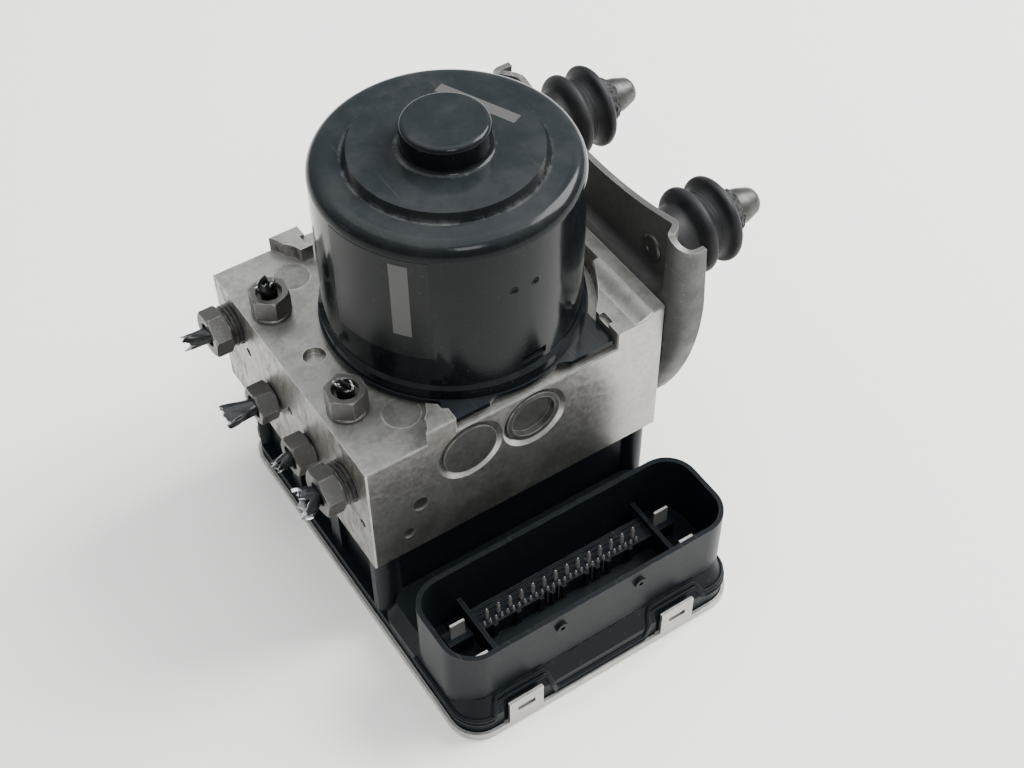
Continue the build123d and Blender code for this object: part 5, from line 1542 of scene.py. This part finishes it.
# ------------------------------------------------------------------ pressed bracket
@dataclass
class PressedBracket:
    """Sheet steel pan: raised mount panel, scalloped top and ends rolled outwards."""

    face_x: float = 46.8
    centre_y: float = 4.2
    foot_z: float = 41.0
    top_mid_z: float = 106.5
    top_end_z: float = 113.0
    widest_z: float = 89.0
    half: float = 51.6
    waist_half: float = 49.2
    waist_z: float = 68.0
    foot_half: float = 38.6
    shoulder_half: float = 50.1
    shoulder_z: float = 109.0
    roll: float = 6.0
    lip: float = 2.5
    panel_half: float = 42.2
    panel_foot_z: float = 84.5
    panel_corner: float = 9.0
    panel_rise: float = 4.7
    panel_blend: float = 4.9
    panel_spread: float = 1.0
    sheet: float = 2.0
    edge_round: float = 0.35
    edge_deg: float = 55.0
    lip_columns: int = 4
    rows: int = 56
    middle_columns: int = 96
    end_columns: int = 14

    def reach(self, z: float) -> float:
        """Half width of the outline at a height.

        Args:
            z: height.

        Returns:
            The half width.
        """
        if z >= self.widest_z:
            share = min(1.0, (z - self.widest_z) / (self.shoulder_z - self.widest_z))
            return self.half + (self.shoulder_half - self.half) * share
        places = ((self.foot_z, self.foot_half), (self.waist_z, self.waist_half), (self.widest_z, self.half))
        total = 0.0
        for index, (here, value) in enumerate(places):
            weight = 1.0
            for there in (place[0] for other, place in enumerate(places) if other != index):
                weight *= (z - there) / (here - there)
            total += weight * value
        return total

    def top(self, offset: float) -> float:
        """Height of the scalloped top edge.

        Args:
            offset: distance from the middle.

        Returns:
            The height.
        """
        away = abs(offset)
        if away > self.panel_half:
            slope = (self.top_end_z - self.shoulder_z) / (self.shoulder_half - self.panel_half)
            return self.top_end_z - (away - self.panel_half) * slope
        rise = self.top_end_z - self.top_mid_z
        radius = (self.panel_half ** 2 + rise ** 2) / (2 * rise)
        return self.top_mid_z + radius - math.sqrt(radius ** 2 - away ** 2)

    def lift(self, offset: float, z: float) -> float:
        """How far the mount panel stands out at a place.

        Args:
            offset: distance from the middle.
            z: height.

        Returns:
            The step outwards.
        """
        across = abs(offset) - (self.panel_half - self.panel_corner)
        below = self.panel_foot_z + self.panel_corner - z
        if across > 0.0 and below > 0.0:
            inside = self.panel_corner - math.hypot(across, below)
        else:
            inside = min(self.panel_half - abs(offset), z - self.panel_foot_z)
        return self.panel_rise * ease((inside + self.panel_spread) / self.panel_blend)

    def columns(self) -> list[tuple[float, float, float]]:
        """Columns from one end to the other.

        Returns:
            (share of the flat part, distance inside the end, step outwards) of each column.
        """
        end: list[tuple[float, float]] = []
        for step in range(self.lip_columns):
            end.append((0.0, self.roll + self.lip * (1 - step / self.lip_columns)))
        for step in range(self.end_columns):
            angle = math.pi / 2 * step / self.end_columns
            end.append((self.roll * (1 - math.cos(angle)), self.roll * (1 - math.sin(angle))))
        result = [(-1.0, inset, out) for inset, out in end]
        for step in range(self.middle_columns + 1):
            result.append((-1.0 + 2.0 * step / self.middle_columns, self.roll, 0.0))
        result += [(1.0, inset, out) for inset, out in reversed(end)]
        return result

    def place(self, column: tuple[float, float, float], share: float) -> Vector:
        """Point of the inner face.

        Args:
            column: one of the columns.
            share: level from foot to top edge.

        Returns:
            The place in millimetres.
        """
        side, inset, out = column
        ratio = (self.shoulder_half - inset) * side
        z = self.foot_z + (self.top(ratio) - self.foot_z) * share
        offset = side * (self.reach(z) - inset)
        return Vector((self.face_x + out + self.lift(offset, z), self.centre_y + offset, z))

    def build(self, wardrobe: Wardrobe) -> None:
        """Build the sheet with its thickness and rounded edges.

        Args:
            wardrobe: the finishes.
        """
        columns = self.columns()
        grid = [[self.place(column, row / self.rows) for row in range(self.rows + 1)] for column in columns]
        maker = MeshMaker("rolled_bracket")
        near = [maker.ring(line) for line in grid]
        far = [maker.ring([self.behind(grid, column, row) for row in range(self.rows + 1)])
               for column in range(len(grid))]
        maker.loft([[*line, *reversed(back)] for line, back in zip(near, far)], closed=False)
        for line, back in ((near[0], far[0]), (near[-1], far[-1])):
            for row in range(self.rows):
                maker.bm.faces.new((line[row], line[row + 1], back[row + 1], back[row]))
        piece = maker.finish([wardrobe.material(Look.BRACKET)], smooth_deg=50.0)
        bevel = piece.modifiers.new("edge", "BEVEL")
        bevel.width = self.edge_round * MM
        bevel.segments = 2
        bevel.limit_method = "ANGLE"
        bevel.angle_limit = math.radians(self.edge_deg)
        settle(piece, "module", "sheet_steel", "mounting_bracket")

    def behind(self, grid: list[list[Vector]], column: int, row: int) -> Point:
        """Point of the outer face behind one of the inner face.

        Args:
            grid: the inner face.
            column: column index.
            row: row index.

        Returns:
            The place in millimetres.
        """
        across = grid[min(column + 1, len(grid) - 1)][row] - grid[max(column - 1, 0)][row]
        up = grid[column][min(row + 1, self.rows)] - grid[column][max(row - 1, 0)]
        return tuple(grid[column][row] + across.cross(up).normalized() * self.sheet)


# ------------------------------------------------------------------ flange webs
@dataclass
class FlangeWebs:
    """Small webs that run the motor flange smoothly into its ears."""

    low: float = 80.0
    high: float = 81.6
    outer: float = 39.6
    inner: float = 35.6
    spans: tuple[tuple[float, float], ...] = ((14.9, 10.6), (-12.8, -9.4))
    clear: float = 0.02
    tuck: float = 0.05
    hollow: float = 0.35
    root: float = 1.5
    steps: int = 8

    def build(self, wardrobe: Wardrobe) -> None:
        """Build the webs at the front and the rear in one piece.

        Args:
            wardrobe: the finishes.
        """
        maker = MeshMaker("flange_webs")
        for side in (-1.0, 1.0):
            for ear, neck in self.spans:
                maker.prism(self.plan(ear, neck, side), self.low, self.high - self.clear)
        settle(maker.finish([wardrobe.material(Look.CAN)]), "module", "black_can")

    def plan(self, ear: float, neck: float, side: float) -> list[tuple[float, float]]:
        """Plan of one web.

        Args:
            ear: x where it meets the ear.
            neck: x where it leaves the ring.
            side: -1 at the front and 1 at the rear.

        Returns:
            Its corners.
        """
        start = math.sqrt((self.outer - self.tuck) ** 2 - neck ** 2)
        points = []
        for step in range(self.steps + 1):
            share = step / self.steps
            x = neck + (ear - neck) * share
            dip = self.hollow * math.sin(math.pi * share)
            points.append((x, side * (start + (self.outer - start) * share - dip)))
        return points + [(ear, side * self.inner), (neck, side * (self.outer - self.root))]


# ------------------------------------------------------------------ working springs
@dataclass(frozen=True)
class SpringSeat:
    """One coil spring, the joint that presses it, its axis, its fixed end and the stroke."""

    node: str
    joint: str
    axis: Point
    fixed_end: float
    stroke: float


@dataclass
class WorkingSprings:
    """Four coil springs, copied from the imported coils with their doubled points merged."""

    seats: tuple[SpringSeat, ...] = (
        SpringSeat("front_pump_spring", "front_piston_stroke", (0.0, 1.0, 0.0), -33.95, 2.4),
        SpringSeat("rear_pump_spring", "rear_piston_stroke", (0.0, 1.0, 0.0), 43.95, 2.4),
        SpringSeat("left_accumulator_spring", "left_accumulator_stroke", (0.0, 0.0, 1.0), 37.05, 6.0),
        SpringSeat("right_accumulator_spring", "right_accumulator_stroke", (0.0, 0.0, 1.0), 37.05, 6.0),
    )
    merge_mm: float = 0.0005

    def build(self, wardrobe: Wardrobe) -> None:
        """Build every spring."""
        for seat in self.seats:
            self.spring(seat, wardrobe)

    def spring(self, seat: SpringSeat, wardrobe: Wardrobe) -> None:
        """One closed coil, copied from its imported node with its doubled points merged.

        Args:
            seat: where it works.
            wardrobe: the finishes.
        """
        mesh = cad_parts[seat.node].data.copy()
        shell = bmesh.new()
        shell.from_mesh(mesh)
        bmesh.ops.remove_doubles(shell, verts=shell.verts, dist=self.merge_mm * MM)
        shell.to_mesh(mesh)
        shell.free()
        mesh.materials.clear()
        mesh.materials.append(wardrobe.material(Look.WIRE))
        piece = show(f"working_{seat.node}", mesh)
        settle(piece, "module", "spring_steel", seat.node)
        low, high = (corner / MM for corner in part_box(seat.node))
        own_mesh(piece)


# ------------------------------------------------------------------ rail lip
@dataclass
class RailLip:
    """Soft rise that runs the block's right land into its raised rail."""

    foot_x: float = 36.0
    top_x: float = 42.3
    land: float = 85.2
    rise: float = 1.8
    pocket: float = 42.5
    narrowest: float = 0.5
    proud: float = 0.02
    sunk: float = 0.1
    spans: tuple[tuple[float, float], ...] = ((-40.9, -14.0), (14.0, 50.9))
    rows: int = 48
    columns: int = 12

    def build(self, wardrobe: Wardrobe) -> None:
        """Build the rise before and behind the motor's pocket.

        Args:
            wardrobe: the finishes.
        """
        maker = MeshMaker("rail_lip")
        for near, far in self.spans:
            places = [near + (far - near) * row / self.rows for row in range(self.rows + 1)]
            maker.loft([maker.ring(self.section(y)) for y in places])
        settle(maker.finish([wardrobe.material(Look.BLOCK)], smooth_deg=40.0), "module", "bare_aluminium")

    def section(self, y: float) -> list[Point]:
        """Outline across the rise at one place along the rail.

        Args:
            y: place along the rail.

        Returns:
            Its corners.
        """
        edge = math.sqrt(max(0.0, self.pocket ** 2 - y ** 2))
        start = min(self.top_x - self.narrowest, max(self.foot_x, edge))
        points = []
        for column in range(self.columns + 1):
            x = start + (self.top_x - start) * column / self.columns
            height = self.rise * ease((x - self.foot_x) / (self.top_x - self.foot_x))
            points.append((x, y, self.land + self.proud + height))
        return points + [(self.top_x, y, self.land - self.sunk), (start, y, self.land - self.sunk)]


# ------------------------------------------------------------------ blank films
@dataclass
class BlankFilms:
    """Bare satin film round the can, a bare pale band on it and a bare pale strip on the crown."""

    can_radius: float = 38.0
    film_thickness: float = 0.10
    film_span_deg: tuple[float, float] = (184.0, 231.0)
    film_heights: tuple[float, float] = (97.0, 133.0)
    band_span_deg: tuple[float, float] = (214.5, 222.5)
    band_heights: tuple[float, float] = (105.0, 131.0)
    band_gain: float = 1.6
    sunk: float = 0.2
    steps: int = 40
    crown_level: float = 140.5
    crown_corners: tuple[tuple[float, float], ...] = ((9.0, 20.6), (12.3, 22.2), (23.0, -1.4), (19.7, -3.0))

    def build(self, wardrobe: Wardrobe) -> None:
        """Build the three films.

        Args:
            wardrobe: the finishes.
        """
        self.wrap("side_film", self.film_span_deg, self.film_heights, self.film_thickness,
                  wardrobe.material(Look.FILM))
        self.wrap("side_band", self.band_span_deg, self.band_heights, self.film_thickness * self.band_gain,
                  wardrobe.material(Look.STRIP))
        self.strip(wardrobe.material(Look.STRIP))

    def wrap(self, name: str, span_deg: tuple[float, float], heights: tuple[float, float], thickness: float,
             material: bpy.types.Material) -> None:
        """One film bent round the can.

        Args:
            name: the piece's name.
            span_deg: first and last angle.
            heights: lowest and highest level.
            thickness: how far it stands proud.
            material: its finish.
        """
        maker = MeshMaker(name)
        start, end = span_deg
        low, high = heights
        inner, outer = self.can_radius - self.sunk, self.can_radius + thickness
        rings = []
        for step in range(self.steps + 1):
            angle = math.radians(start + (end - start) * step / self.steps)
            edges = ((inner, low), (outer, low), (outer, high), (inner, high))
            rings.append(maker.ring([polar(radius, angle, height) for radius, height in edges]))
        maker.loft(rings)
        settle(maker.finish([material]), "module", "black_can")

    def strip(self, material: bpy.types.Material) -> None:
        """Bare strip on the crown.

        Args:
            material: its finish.
        """
        maker = MeshMaker("crown_strip")
        maker.prism(self.crown_corners, self.crown_level - self.sunk, self.crown_level + self.film_thickness)
        settle(maker.finish([material]), "module", "black_can")


# ------------------------------------------------------------------ stage
@dataclass(frozen=True)
class Lamp:
    """One square lamp: its place in metres, its side in metres and its power in watts."""

    name: str
    place: Point
    size: float
    power: float


@dataclass
class Stage:
    """Floor, soft light and camera."""

    camera_place_mm: Point = (-163.89, -283.29, 419.20)
    camera_turn_deg: Point = (40.995, 0.275, -33.358)
    lens_mm: float = 56.263
    sensor_mm: float = 36.0
    view_range: tuple[float, float] = (0.01, 20.0)
    floor_size: float = 6.0
    floor_finish: Finish = Finish("pale table", (0.90, 0.885, 0.85), 0.85)
    sky: tuple[float, float, float, float] = (0.90, 0.955, 1.0, 1.0)
    sky_strength: float = 0.70
    lamps_at: Point = (0.0, 0.0, 0.06)
    lamps: tuple[Lamp, ...] = (
        Lamp("key", (1.25, -0.15, 1.25), 1.0, 70.0),
        Lamp("fill", (-0.25, -1.0, 1.35), 0.45, 9.0),
        Lamp("roof", (0.0, 0.3, 1.7), 1.9, 28.0),
    )

    def build(self) -> None:
        """Set the stage."""
        self.floor()
        self.surroundings()
        for lamp in self.lamps:
            self.light(lamp)
        self.camera()

    def floor(self) -> None:
        """Plain pale floor under the module."""
        half = self.floor_size / 2
        mesh = bpy.data.meshes.new("floor")
        mesh.from_pydata([(-half, -half, 0), (half, -half, 0), (half, half, 0), (-half, half, 0)], [],
                         [(0, 1, 2, 3)])
        mesh.materials.append(self.floor_finish.build())
        plane = show("floor", mesh)

    def surroundings(self) -> None:
        """Pale even surroundings."""
        world = bpy.data.worlds.new("studio")
        world.use_nodes = True
        background = world.node_tree.nodes["Background"]
        background.inputs["Color"].default_value = self.sky
        background.inputs["Strength"].default_value = self.sky_strength
        bpy.context.scene.world = world

    def light(self, lamp: Lamp) -> None:
        """Add one lamp that looks at the module.

        Args:
            lamp: its values.
        """
        light = bpy.data.lights.new(lamp.name, "AREA")
        light.size = lamp.size
        light.energy = lamp.power
        holder = show(lamp.name, light)
        holder.location = lamp.place
        towards = Vector(self.lamps_at) - Vector(lamp.place)
        holder.rotation_euler = towards.to_track_quat("-Z", "Y").to_euler()

    def camera(self) -> None:
        """Camera that looks down on the connector's side."""
        data = bpy.data.cameras.new("camera")
        data.lens = self.lens_mm
        data.sensor_width = self.sensor_mm
        data.clip_start, data.clip_end = self.view_range
        holder = show("camera", data)
        holder.location = Vector(self.camera_place_mm) * MM
        holder.rotation_euler = tuple(math.radians(angle) for angle in self.camera_turn_deg)
        bpy.context.scene.camera = holder


def main() -> None:
    """Build the dress."""
    logging.basicConfig(level=logging.INFO)
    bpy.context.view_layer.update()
    Effects().build()
    wardrobe = Wardrobe()
    wardrobe.dress_nodes()
    log.info("dressed %d nodes", len(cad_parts))
    for part in (PipePorts(), RubberMounts(), ContactField(), HousingBeads(), PressedBracket(), FlangeWebs(),
                 RailLip(), BlankFilms(), WorkingSprings()):
        part.build(wardrobe)
        log.info("built %s", type(part).__name__)
    Stage().build()


if __name__ == "__main__":
    main()
